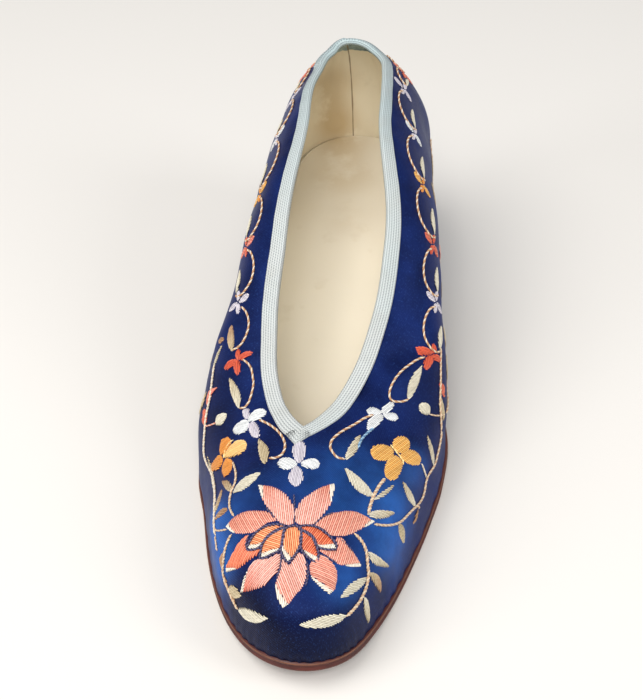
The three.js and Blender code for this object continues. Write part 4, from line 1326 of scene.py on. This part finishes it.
# Petals of the small flowers: silk, thread direction, outlines
FLOWERS = [
    (LILAC, (0.1, -1.0), [[(161, 441.5), (157.6, 444.6), (155.6, 452), (158.4, 461), (162.4, 464), (166.4, 461),
                           (170, 452), (168.6, 444.6), (165, 441.8)]]),
    (WHITE, (1.0, 0.5), [[(139.4, 465), (143.6, 460), (151, 459), (159.4, 463.4), (159.4, 467), (151.7, 471),
                          (144, 470)],
                         [(184.4, 465), (182, 469), (175, 470.4), (165.6, 467), (165.6, 463), (174, 459.6),
                          (181.4, 460.6)]]),
    (LILAC, (0.2, -1.0), [[(159, 489), (154.6, 486), (151.7, 480.4), (153.6, 473.4), (159.8, 467.4),
                           (165.6, 472), (166.6, 480.4), (163, 486.4)]]),
    (AMBER, (0.75, -0.66), [[(88.3, 438), (82, 441.6), (79.6, 449), (80.4, 457), (85.4, 454.6), (89.6, 449),
                             (91.4, 442.4)]]),
    (PALE_YELLOW, (0.85, -0.5), [[(108, 445), (106, 451.7), (98.6, 456.8), (88.6, 459.6), (83.8, 459),
                                  (88, 451), (95, 443.6), (100.5, 441.2), (105.5, 441.6)]]),
    (AMBER, (0.85, -0.5), [[(70.2, 474.4), (69.6, 469.6), (72.4, 464), (78.6, 457.4), (82.4, 459.8),
                            (81.8, 466), (77.4, 471.4)],
                           [(84, 480), (81.4, 473.6), (83.2, 465), (87.4, 460.8), (92, 462.4), (92.4, 469),
                            (89.6, 475.6)]]),
    (YELLOW, (0.8, -0.6), [[(271, 436), (264.6, 436.6), (260.8, 441), (260.2, 446.6), (264.4, 452.6),
                            (270, 453.6), (275.6, 450.6), (277.4, 444), (275.6, 438.8)],
                           [(236.8, 452.2), (239.4, 447.4), (245, 444.8), (253, 445.2), (259.6, 448.6),
                            (260.4, 455), (255.6, 460.8), (248, 461.4), (240.4, 459.2)],
                           [(288, 461), (285.6, 465.4), (278.6, 466), (270.6, 462.4), (266.6, 457.6),
                            (270.4, 452.4), (277.4, 450), (284, 453), (287.4, 457.6)],
                           [(257.4, 481.6), (252.4, 477.4), (251.4, 470.4), (253.8, 462.6), (257.6, 456.6),
                            (264, 456.8), (269, 463.4), (268.6, 469.4), (265.8, 476.6), (262, 480.8)]]),
    (WHITE, (0.9, -0.35), [[(129, 411.4), (125.6, 416.2), (118, 420.4), (111.6, 422), (109, 419.4),
                            (113.6, 412.6), (119, 409.4), (124.6, 408.6)],
                           [(93.4, 432), (94.6, 427.6), (99.6, 423), (106.4, 420), (110.4, 423), (108.4, 430),
                            (102.6, 434.4), (96.4, 435)]]),
    (LILAC, (0.2, -1.0), [[(107.4, 408), (104, 409.4), (103.6, 413.6), (106.4, 418.8), (109.8, 418),
                           (111, 412.6), (110.4, 409.2)],
                          [(118, 438.6), (113.6, 437), (110.4, 431), (110.2, 424.6), (114.6, 421.8),
                           (119.4, 426), (121.4, 433), (120.6, 437.4)]]),
    (WHITE, (0.8, -0.6), [[(232.8, 410.4), (234.8, 407.2), (240, 406.4), (246, 408.4), (248.6, 411.6),
                           (242.6, 414.4), (235.8, 413.6)],
                          [(260, 400.4), (254, 402.2), (249.4, 407), (248.4, 411.4), (253, 411.8), (259, 408),
                           (261.6, 403.4)],
                          [(266.6, 417), (262, 419.6), (255.4, 417.8), (250.6, 413.6), (253.6, 411.6),
                           (259.6, 411.6), (264.6, 413.4)],
                          [(233.6, 429.8), (234.2, 422), (237.6, 416.2), (244.4, 412.8), (250.4, 414.2),
                           (250, 418.8), (245, 424), (239, 428.6)]]),
    (VERMILION, (0.85, -0.5), [[(114.4, 349.6), (111.2, 353.2), (105.6, 357), (101, 357.6), (100, 355),
                                (103.8, 351), (109.4, 348.4)],
                               [(83.6, 365.8), (88.4, 360.2), (95.4, 357), (98.4, 359), (95.8, 363),
                                (90.4, 366.8), (85.6, 367.6)]]),
    (VERMILION, (0.1, -1.0), [[(99.4, 345.4), (97.4, 349), (97, 355), (99.2, 357.6), (101.6, 355),
                               (101.9, 350)],
                              [(98.2, 373.8), (95.6, 370), (95, 364.6), (96.2, 359.8), (100, 358.6),
                               (101.8, 364), (100.8, 370)]]),
    (VERMILION, (0.8, 0.4), [[(284, 344.2), (290, 343.8), (296.6, 347.2), (299.4, 351.4), (294, 352.8),
                              (286.8, 351.4)],
                             [(309, 359), (306.4, 359.8), (300.8, 356.4), (299.4, 352.6), (304.4, 352.4),
                              (308, 355.4)]]),
    (VERMILION, (0.2, -1.0), [[(299.8, 340.4), (297.9, 343.4), (298, 348.4), (300.2, 350.8), (302.4, 348.4),
                               (302.5, 343.8)],
                              [(293.8, 368), (291.4, 364.6), (291.4, 359), (294.6, 353.8), (299.4, 353.6),
                               (300.2, 358.6), (297.8, 364.6)]]),
]
# Buds and blobs: silk, thread direction, outline
BUDS = [
    (CORAL, (0.6, -0.8), [(75.4, 386), (70.4, 391.9), (68, 397), (65.8, 403.8), (63.6, 402.5), (64.6, 395),
                          (67.5, 389), (71.9, 386.6)]),
    (CORAL_RED, (0.3, -1.0), [(62, 408.4), (64.6, 410.4), (65.4, 417.5), (65, 424.6), (62.2, 425), (60.4, 420),
                              (60.8, 413.6)]),
    (CREAM, (0.7, -0.7), [(86, 412.8), (84.4, 419.6), (80.4, 425.2), (75, 424.6), (74.6, 420.4), (76, 415.8),
                          (80.4, 412.8)]),
    (CREAM, (0.6, 0.8), [(288, 403), (292.5, 401.2), (297.4, 402.6), (299.8, 407.4), (298.6, 413),
                         (292.6, 412.9), (288.6, 408.8)]),
    (CORAL_RED, (0.2, -1.0), [(307.2, 381), (311, 381.6), (313.4, 386), (313.2, 395.4), (310.6, 391)]),
]
# Leaves: silk, base, tip, width, bow
LEAVES = [
    (TAN, (126.6, 465.4), (120.6, 439.6), 10.6, 2.0), (TAN, (93.2, 497.4), (80, 482), 6.4, 1.4),
    (CREAM, (93.6, 496.4), (122.2, 474.8), 9.4, -1.2), (BARK, (88.6, 513.8), (71.4, 523.4), 6.4, 1.0),
    (TAN, (66.2, 518.6), (81.2, 491.6), 7.2, 1.4), (CREAM, (62.6, 496), (66.2, 457.6), 5.0, -0.8),
    (CREAM, (211, 460.4), (226.4, 434), 8.6, 1.2), (CREAM, (239.4, 498.6), (210.2, 468.8), 11.2, -2.0),
    (CREAM, (234.2, 517), (262.6, 515), 9.0, 1.0), (CREAM, (240.8, 501.6), (262.6, 485.6), 4.6, 1.0),
    (CREAM, (300.8, 466.4), (295.4, 434.6), 6.6, 1.4), (BARK, (300.8, 470.6), (313.6, 479.6), 8.4, 0.6),
    (CREAM, (282.4, 509.4), (270.3, 482.8), 8.6, 1.6), (BARK, (296, 515), (298.4, 536), 4.8, 1.2),
    (TAN, (266.4, 526), (287, 556), 10.4, 0.8), (CREAM, (234.6, 556), (256.2, 571.2), 8.4, 2.2),
    (TAN, (236.2, 576.6), (251, 600), 8.0, 2.0), (CREAM, (233.2, 583), (206, 604.8), 9.6, 0.8),
    (CREAM, (231.4, 602.4), (238.2, 632), 7.8, 0.4), (CREAM, (211.8, 622.4), (163, 633.2), 11.6, -1.8),
    (CREAM, (98.8, 616.6), (130.6, 626.4), 10.4, 1.2), (TAN, (84.8, 596.8), (102, 603.2), 9.6, 0.6),
    (BARK, (84.4, 558.2), (71, 580.6), 9.0, 1.0), (BARK, (83, 582.4), (74.8, 602), 6.4, 0.8),
    (TAN, (83.6, 599.6), (80.4, 621.4), 6.0, 0.8), (CREAM, (99.2, 407), (89.6, 375.8), 9.0, 1.0),
    (TAN, (92.6, 348.6), (91.3, 320.8), 6.6, -1.0), (BARK, (76, 337), (84.4, 336), 5.4, 0.0),
    (CREAM, (69, 369), (82.4, 342.4), 4.6, -1.6), (CREAM, (276.4, 397.6), (289.4, 362.6), 9.4, -1.0),
]
# Vines and tendrils: thickness in millimetres, silk, path
VINES = [
    (0.75, PALE_VINE, [(74, 362), (72, 374), (70, 386), (67.6, 398), (65.6, 410), (64.6, 422), (64.2, 436),
                       (63.4, 451.7),
                       (63.4, 467), (64, 480.5), (65.4, 494), (67, 506)]),
    (0.75, PALE_VINE, [(71, 475), (67.6, 484), (65.8, 496), (64.6, 509), (65.4, 523), (68.5, 534),
                       (72.8, 539.4)]),
    (0.6, VINE, [(66, 527), (72, 535), (79, 536.4), (87, 534.4)]),
    (0.6, VINE, [(72.8, 539.4), (69, 548), (65.6, 558)]),
    (0.75, VINE, [(92.4, 539.4), (89, 546), (86.6, 553), (85.2, 561.4), (84, 574.3), (83.2, 585.7),
                  (83.4, 597.1), (86.6, 605.7),
                  (91.4, 612.9), (99, 617.3)]),
    (0.7, VINE, [(93.6, 464), (96.7, 475), (96.2, 485), (93.3, 491.7), (91.7, 496), (90, 505), (90.5, 512.8),
                 (94.4, 520.5)]),
    (0.75, LOOP, [(121, 420), (130, 424), (137.5, 429), (143.4, 435), (147.2, 442), (148, 449), (144.8, 456),
                  (138, 459.8), (131, 459.8)]),
    (0.75, LOOP, [(240, 413.8), (230, 418.1), (222.5, 423.1), (215, 427.5), (209.4, 430.6), (202.2, 435.6),
                  (196.7, 441.1),
                  (195, 448.3), (197.8, 453.8), (202.6, 458.9), (210.4, 460.4)]),
    (0.7, LOOP, [(103.4, 356.9), (108.8, 360.6), (112.8, 366.3), (114.4, 375), (115, 381.9), (113.8, 390),
                 (111.3, 398.8),
                 (108.8, 403.8), (105, 407.5), (99.6, 407.5)]),
    (0.7, LOOP, [(101.3, 301.3), (106.3, 306.3), (109.4, 315), (109.4, 323.8), (106.9, 332.5), (103.8, 338.8),
                 (100, 343.8), (93.1, 348)]),
    (0.7, LOOP, [(292.5, 354.4), (285, 356.9), (277.5, 361.9), (268.8, 368.8), (261.3, 378.1), (256.9, 387.5),
                 (256.3, 395),
                 (258.8, 399.4), (265, 400.6), (271.3, 400), (276.6, 397.5)]),
    (0.75, VINE, [(309.8, 430), (310, 441), (308.6, 451.1), (305.6, 461.1), (300.6, 468.3), (296.7, 474.4),
                  (294.4, 481.1),
                  (293.3, 488.9), (291.1, 497.8), (286.7, 505.6), (282.2, 509.4), (278.9, 513.3),
                  (274.4, 517.8), (270, 523.3),
                  (264.4, 526.7), (257.8, 528.3), (251.1, 528.9), (240.6, 527.4)]),
    (0.6, PALE_VINE, [(288.4, 464.4), (291.4, 471), (294.4, 478.4)]),
    (0.55, VINE, [(282.2, 509.4), (287, 507.4), (291.1, 507.2), (294, 510.4), (296.1, 515)]),
    (1.0, VINE, [(251.7, 480), (246.7, 486), (243, 492.2), (239.4, 499.4), (236.4, 507.8), (234.2, 516.4)]),
    (0.9, VINE, [(220, 537), (226, 543.3), (230.2, 550), (232.6, 558.6), (233.6, 570), (234.4, 580),
                 (232.1, 592.9), (226.4, 605.7),
                 (218.8, 615.7), (211.6, 622.9)]),
    (0.55, tones((214, 120, 96), (248, 206, 184)), [(63.8, 426.9), (70, 426.3), (75.6, 422.9)]),
    (0.55, VINE, [(298.8, 413.1), (304.4, 415.6), (313.6, 413.4)]),
    (0.7, VINE, [(307.4, 345), (308, 356.3), (308.6, 375), (309.2, 400), (309.6, 412.5), (309.8, 430)]),
    (0.8, ICE, [(240.6, 427.6), (233.8, 433), (227.5, 440), (223.8, 449)]),
    (0.5, PALE_YELLOW[:2], [(257.8, 444.8), (262.2, 451), (266, 456.4), (268.9, 460.6), (270, 466)]),
    (0.5, PALE_YELLOW[:2], [(94, 441), (90.4, 444), (87.4, 448.6), (85, 455), (83.4, 460)]),
]


def leaf_shape(base, tip, wide, bow):
    """A pointed leaf with its tip first; bow bends it sideways."""
    base, tip = np.array(base, float), np.array(tip, float)
    axis = tip - base
    side = np.array([-axis[1], axis[0]]) / np.linalg.norm(axis)
    t = np.linspace(1, 0, 15)
    half = 0.5 * wide * np.sin(np.pi * t ** 0.86) ** 0.8
    spine = base + axis * t[:, None] + side * (bow * np.sin(np.pi * t))[:, None]
    return np.concatenate([spine + side * half[:, None], (spine - side * half[:, None])[::-1][1:-1]])


# Units of the drawing to a millimetre on the shoe, about
DRAWN_SIZE = 3.55


def sew_lotus():
    for name, points, direction, silk, tip_silk, (side, reach, wide) in LOTUS:
        patch, shape, line = drawn(points)
        lean = lean_of(patch, line, direction)
        strip, rest = split_tip(shape, side, reach, wide)
        tip, far_end = shape[0], shape[len(shape) // 2]
        middle = (tip + far_end) / 2
        inner = name.startswith("inner")
        fill(petals, patch, rest, lean, silk, far=(middle, tip, tip_silk), base=0.08 if inner else 0.03)
        fill(petals, patch, strip, lean + 12, IVORY, pitch=0.45, pad=0.28, jag=0.02,
             base=0.12 if inner else 0.07)
        if inner:
            outline_cord(patch, shape, 0.42, 0.72, PLUM)
    for path in SEAMS:
        r, u = chart(smooth_line(path, 1.1))
        strand(vines, r, u, 0.5, PLUM, 1.1)


def sew_drawn():
    for silk, direction, outlines in FLOWERS:
        for points in outlines:
            patch, shape, line = drawn(points)
            fill(flowers, patch, shape, lean_of(patch, line, direction), silk, pad=0.26, pitch=0.44)
    for silk, direction, points in BUDS:
        patch, shape, line = drawn(points)
        fill(flowers, patch, shape, lean_of(patch, line, direction), silk, **BUD_STITCH)
    for silk, base, tip, wide, bow in LEAVES:
        patch, shape, line = drawn(leaf_shape(base, tip, wide, bow))
        if facing(patch.ring, patch.up) < 0.55:
            tip_at, base_at = shape[0], shape[len(shape) // 2]
            middle, reach = (tip_at + base_at) / 2, tip_at - base_at
            long = np.linalg.norm(np.subtract(tip, base)) / DRAWN_SIZE
            reach = reach * min(1.0, 1.5 * long / np.linalg.norm(reach))
            shape = smooth_shape(leaf_shape(middle - reach / 2, middle + reach / 2, 1.25 * wide / DRAWN_SIZE,
                                            bow / DRAWN_SIZE))
        axis = np.array(tip) - np.array(base)
        turn = math.radians(26)
        c, s = math.cos(turn), math.sin(turn)
        direction = (axis[0] * c - axis[1] * s, axis[0] * s + axis[1] * c)
        tip_silk = TIP_OF.get(id(silk), silk) if wide < 9.2 else silk
        fill(leaves, patch, shape, lean_of(patch, line, direction), silk, pad=0.20, pitch=0.42, jag=0.22,
             far=(shape[len(shape) // 2], shape[0], tip_silk))
    for thick, silk, path in VINES:
        r, u = chart(smooth_line(path, 1.1))
        turns = 30 if facing(r, u).min() < WELL_SEEN + 0.12 else 3
        r, u = evened(r, turns), evened(u, turns)
        strand(vines, r, u, thick, silk, 2.3 if silk is LOOP else 1.9)


# Garland along the sides, flat, in millimetres
PETAL = [(0.5, 0.0), (1.2, 0.8), (2.7, 1.30), (4.2, 1.05), (5.3, 0.1), (4.5, -0.9), (3.0, -1.25), (1.4, -0.8)]


def turned(points, degrees, at=(0.0, 0.0), scale=1.0):
    a = math.radians(degrees)
    m = np.array([[math.cos(a), math.sin(a)], [-math.sin(a), math.cos(a)]])
    return (np.asarray(points, float) * scale) @ m + np.asarray(at, float)


def smooth_shape(points, step=0.25):
    """A closed smooth outline with a sharp tip at its first point."""
    pts = np.asarray(points, float)
    return smooth_line(np.concatenate([pts, pts[:1]]), step)[:-1]


def walk(ring, start, stop, far):
    """How far up the wall a place lies, so many millimetres from start towards stop."""
    us = np.linspace(start, stop, 300)
    return float(np.interp(far, run_of(skin(np.full(300, ring), us)), us))


def down_from_collar(ring, down):
    return ring, walk(ring, float(edge_up(ring)), 0.02, down)


def on_side(y, down, side):
    """Ring and up of a place so many millimetres down from the collar's edge."""
    return down_from_collar(float(side_ring(y / LENGTH, side)), down)


def flower_at(ring, up, silk, dark, scale=1.0, turn=0.0):
    patch = Patch(ring, up)
    for angle, long, tone in ((62, 1.05, silk), (242, 1.05, silk), (-22, 0.86, dark), (158, 0.86, dark)):
        shape = smooth_shape(turned(PETAL, angle + turn, scale=scale * long))
        fill(flowers, patch, shape, angle + turn + 52, tone, pad=0.24, pitch=0.44)


def flat_path(patch, points, thick, silk):
    r, u = patch.places(smooth_line(points, 0.35))
    strand(vines, r, u, thick, silk, 2.3 if silk is LOOP else 1.9)


GARLAND = [
    (INNER, [(113.5, 15.8, LILAC, LILAC), (132.0, 18.6, CORAL, CORAL_RED), (149.5, 18.6, YELLOW, AMBER),
             (170.5, 16.0, WHITE, LILAC), (189.5, 13.0, LILAC, LILAC)]),
    (OUTER, [(118.5, 22.0, LILAC, LILAC), (134.3, 19.5, CORAL_RED, VERMILION), (153.0, 17.8, YELLOW, AMBER),
             (173.0, 15.4, WHITE, LILAC), (191.0, 9.0, LILAC, LILAC)]),
]


def between(a, b, share):
    return a[0] + (b[0] - a[0]) * share, a[1] + (b[1] - a[1]) * share


def loop_between(toe, heel):
    """A tendril and its leaf between two flowers, each given as ring and height share."""
    patch = Patch(*between(toe, heel, 0.5))
    ends = patch.flat(skin(np.array([toe[0], heel[0]]), np.array([toe[1], heel[1]])))
    span = ends[1] - ends[0]
    size = np.linalg.norm(span) / 19.0
    turn = math.degrees(math.atan2(span[1], span[0]))
    path = [(8.0, 0.8), (6.2, 3.4), (3.2, 5.0), (-0.4, 5.5), (-3.8, 4.8), (-6.2, 3.0), (-7.4, 1.0),
            (-7.3, -1.2), (-6.2, -2.4)]
    flat_path(patch, turned(path, turn, scale=size), 0.7, LOOP)
    leaf = leaf_shape((-5.8, -2.2), (2.8, -3.2), 2.7, 0.5)
    fill(leaves, patch, smooth_shape(turned(leaf, turn, scale=size)), turn + 26, CREAM, **LEAF_STITCH)


def sew_garland():
    last_seen = {INNER: chart([(98.8, 357.5)]), OUTER: chart([(300.0, 353.8)])}
    back_ends = []
    for side, rows in GARLAND:
        r, u = last_seen[side]
        before = (float(r[0]), float(u[0]))
        for k, (y, down, silk, dark) in enumerate(rows):
            here = on_side(y, down, side)
            flower_at(*here, silk, dark, 0.92)
            if k > 0 or side == OUTER:
                loop_between(before, here)
            before = here
        back_ends.append(before)
    # round the heel, the same from both sides to a flower in the middle
    downs = ((1.119, 11.5, CORAL, CORAL_RED), (1.307, 12.5, YELLOW, AMBER))
    middle = down_from_collar(1.5, 13.5)
    flower_at(*middle, WHITE, LILAC, 0.92)
    for side, before in zip((INNER, OUTER), back_ends):
        for ring, down, silk, dark in downs:
            here = down_from_collar(ring if side == INNER else 3 - ring, down)
            flower_at(*here, silk, dark, 0.92)
            loop_between(before, here)
            before = here
        if side == INNER:
            loop_between(before, middle)
        else:
            loop_between(before, (middle[0] + 1e-4, middle[1]))


# Vine along the lower side: how far it lies above the sole, with leaves and buds
LOWER = [(92.0, 15.0), (104.0, 12.5), (116.0, 15.5), (128.0, 12.5), (140.0, 16.0), (152.0, 13.0), (164.0, 17.0),
         (176.0, 14.0), (188.0, 18.0)]


# Millimetres to one ring and to one up along the side, about
SIDE_SCALE = np.array([200.0, 60.0])


def sew_lower():
    for side in (INNER, OUTER):
        places = []
        for y, height in LOWER:
            ring = float(side_ring(y / LENGTH, side))
            places.append((ring, walk(ring, 0.0, float(edge_up(ring)), height)))
        line = smooth_line(np.array(places) * SIDE_SCALE, 0.5) / SIDE_SCALE
        strand(vines, line[:, 0], line[:, 1], 0.75, VINE)
        for k, (ring, up) in enumerate(places[:-1]):
            patch = Patch(ring, up)
            flip = 1 if k % 2 else -1
            shape = leaf_shape((0.4, 0.6 * flip), (9.0, 5.0 * flip), 3.0, 0.6 * flip)
            fill(leaves, patch, smooth_shape(shape), 20 * flip, (CREAM, TAN)[k % 2], **LEAF_STITCH)
            shape = leaf_shape((-3.0, -0.9 * flip), (3.6, -6.0 * flip), 2.6, -0.5 * flip)
            if k % 3 != 1:
                fill(leaves, patch, smooth_shape(shape), -30 * flip, (TAN, BARK)[k % 2], **LEAF_STITCH)
            else:
                bud = [(5.6, -6.4 * flip), (3.0, -6.2 * flip), (1.0, -4.4 * flip), (1.4, -2.6 * flip),
                       (3.6, -3.4 * flip)]
                fill(flowers, patch, smooth_shape(bud), -45 * flip, CORAL, **BUD_STITCH)
                flat_path(patch, [(-1.5, 0.2 * flip), (0.2, -1.4 * flip), (1.6, -3.2 * flip)], 0.5, VINE)
        ring, up = places[-1]
        patch = Patch(ring, up)
        curl = [(0, 0), (3.0, 1.6), (5.6, 1.2), (7.0, -1.0), (6.2, -3.2), (4.2, -3.6), (3.2, -2.2), (4.0, -1.0)]
        flat_path(patch, curl, 0.6, VINE)


sew_lotus()
sew_drawn()
sew_garland()
sew_lower()
petals.sew()
flowers.sew()
leaves.sew()
vines.sew()


# Floor, lights and camera
def make_floor():
    n = 24
    size = 4.0
    xy = np.linspace(-size, size, n)
    gx, gy = np.meshgrid(xy, xy, indexing="ij")
    me = bpy.data.meshes.new("floor")
    verts = [(float(a), float(b), 0.0) for a, b in zip(gx.ravel(), gy.ravel())]
    me.from_pydata(verts, [], [tuple(int(i) for i in q[::-1]) for q in grid_quads(n, n)])
    k = Look("floor_paper", colour(226, 222, 216), Roughness=0.85)
    me.materials.append(k.set(Normal=k.bump(k.noise(k.place(), 300.0, 3.0), 0.05, 0.0005)))
    ob = bpy.data.objects.new("floor", me)
    bpy.context.scene.collection.objects.link(ob)


def lamp(name, at, aim, size, power, tone):
    data = bpy.data.lights.new(name, "AREA")
    data.shape = "RECTANGLE"
    data.size, data.size_y = size
    data.energy = power
    data.color = tone
    ob = bpy.data.objects.new(name, data)
    ob.location = at
    ob.rotation_euler = (Vector(aim) - Vector(at)).to_track_quat("-Z", "Y").to_euler()
    bpy.context.scene.collection.objects.link(ob)


def make_lights():
    lamp("key", (-0.45, -0.25, 1.05), (0.0, 0.0, 0.03), (0.8, 0.8), 8.2, (1.0, 0.985, 0.965))
    lamp("left", (-0.95, -0.55, 0.55), (0.0, -0.05, 0.03), (0.35, 0.5), 2.6, (0.96, 0.98, 1.0))
    lamp("right", (0.95, -0.35, 0.70), (0.0, -0.05, 0.03), (0.45, 0.6), 4.6, (0.96, 0.98, 1.0))
    lamp("fill", (0.08, -0.75, 0.95), (0.0, 0.08, 0.04), (0.45, 0.35), 5.2, (1.0, 0.99, 0.97))
    world = bpy.data.worlds.new("studio")
    world.use_nodes = True
    back = world.node_tree.nodes["Background"]
    back.inputs["Color"].default_value = (0.90, 0.92, 0.96, 1)
    back.inputs["Strength"].default_value = 0.42
    bpy.context.scene.world = world
    # colours as they are, not softened by the film
    bpy.context.scene.view_settings.view_transform = "Standard"


SHOE_MIDDLE = np.array([186.0, 347.0])
FRAME_WIDE = 643
CAMERA_AT = 1468.0
SENSOR_WIDE = 36.0


def make_camera():
    off = SHOE_MIDDLE - DRAWN_MIDDLE
    look = unit(AHEAD * DRAWN_AT + ACROSS * off[0] - OVER * off[1])
    over = unit(OVER - look * (OVER @ look))
    right = np.cross(look, over)
    data = bpy.data.cameras.new("camera")
    data.sensor_fit = "HORIZONTAL"
    data.sensor_width = SENSOR_WIDE
    data.lens = CAMERA_AT * SENSOR_WIDE / FRAME_WIDE
    data.clip_start, data.clip_end = 0.01, 50.0
    ob = bpy.data.objects.new("camera", data)
    place = (EYE + TO_ROW) * 0.001
    ob.matrix_world = Matrix([[right[k], over[k], -look[k], place[k]] for k in range(3)] + [[0, 0, 0, 1]])
    bpy.context.scene.collection.objects.link(ob)
    bpy.context.scene.camera = ob


make_floor()
make_lights()
make_camera()
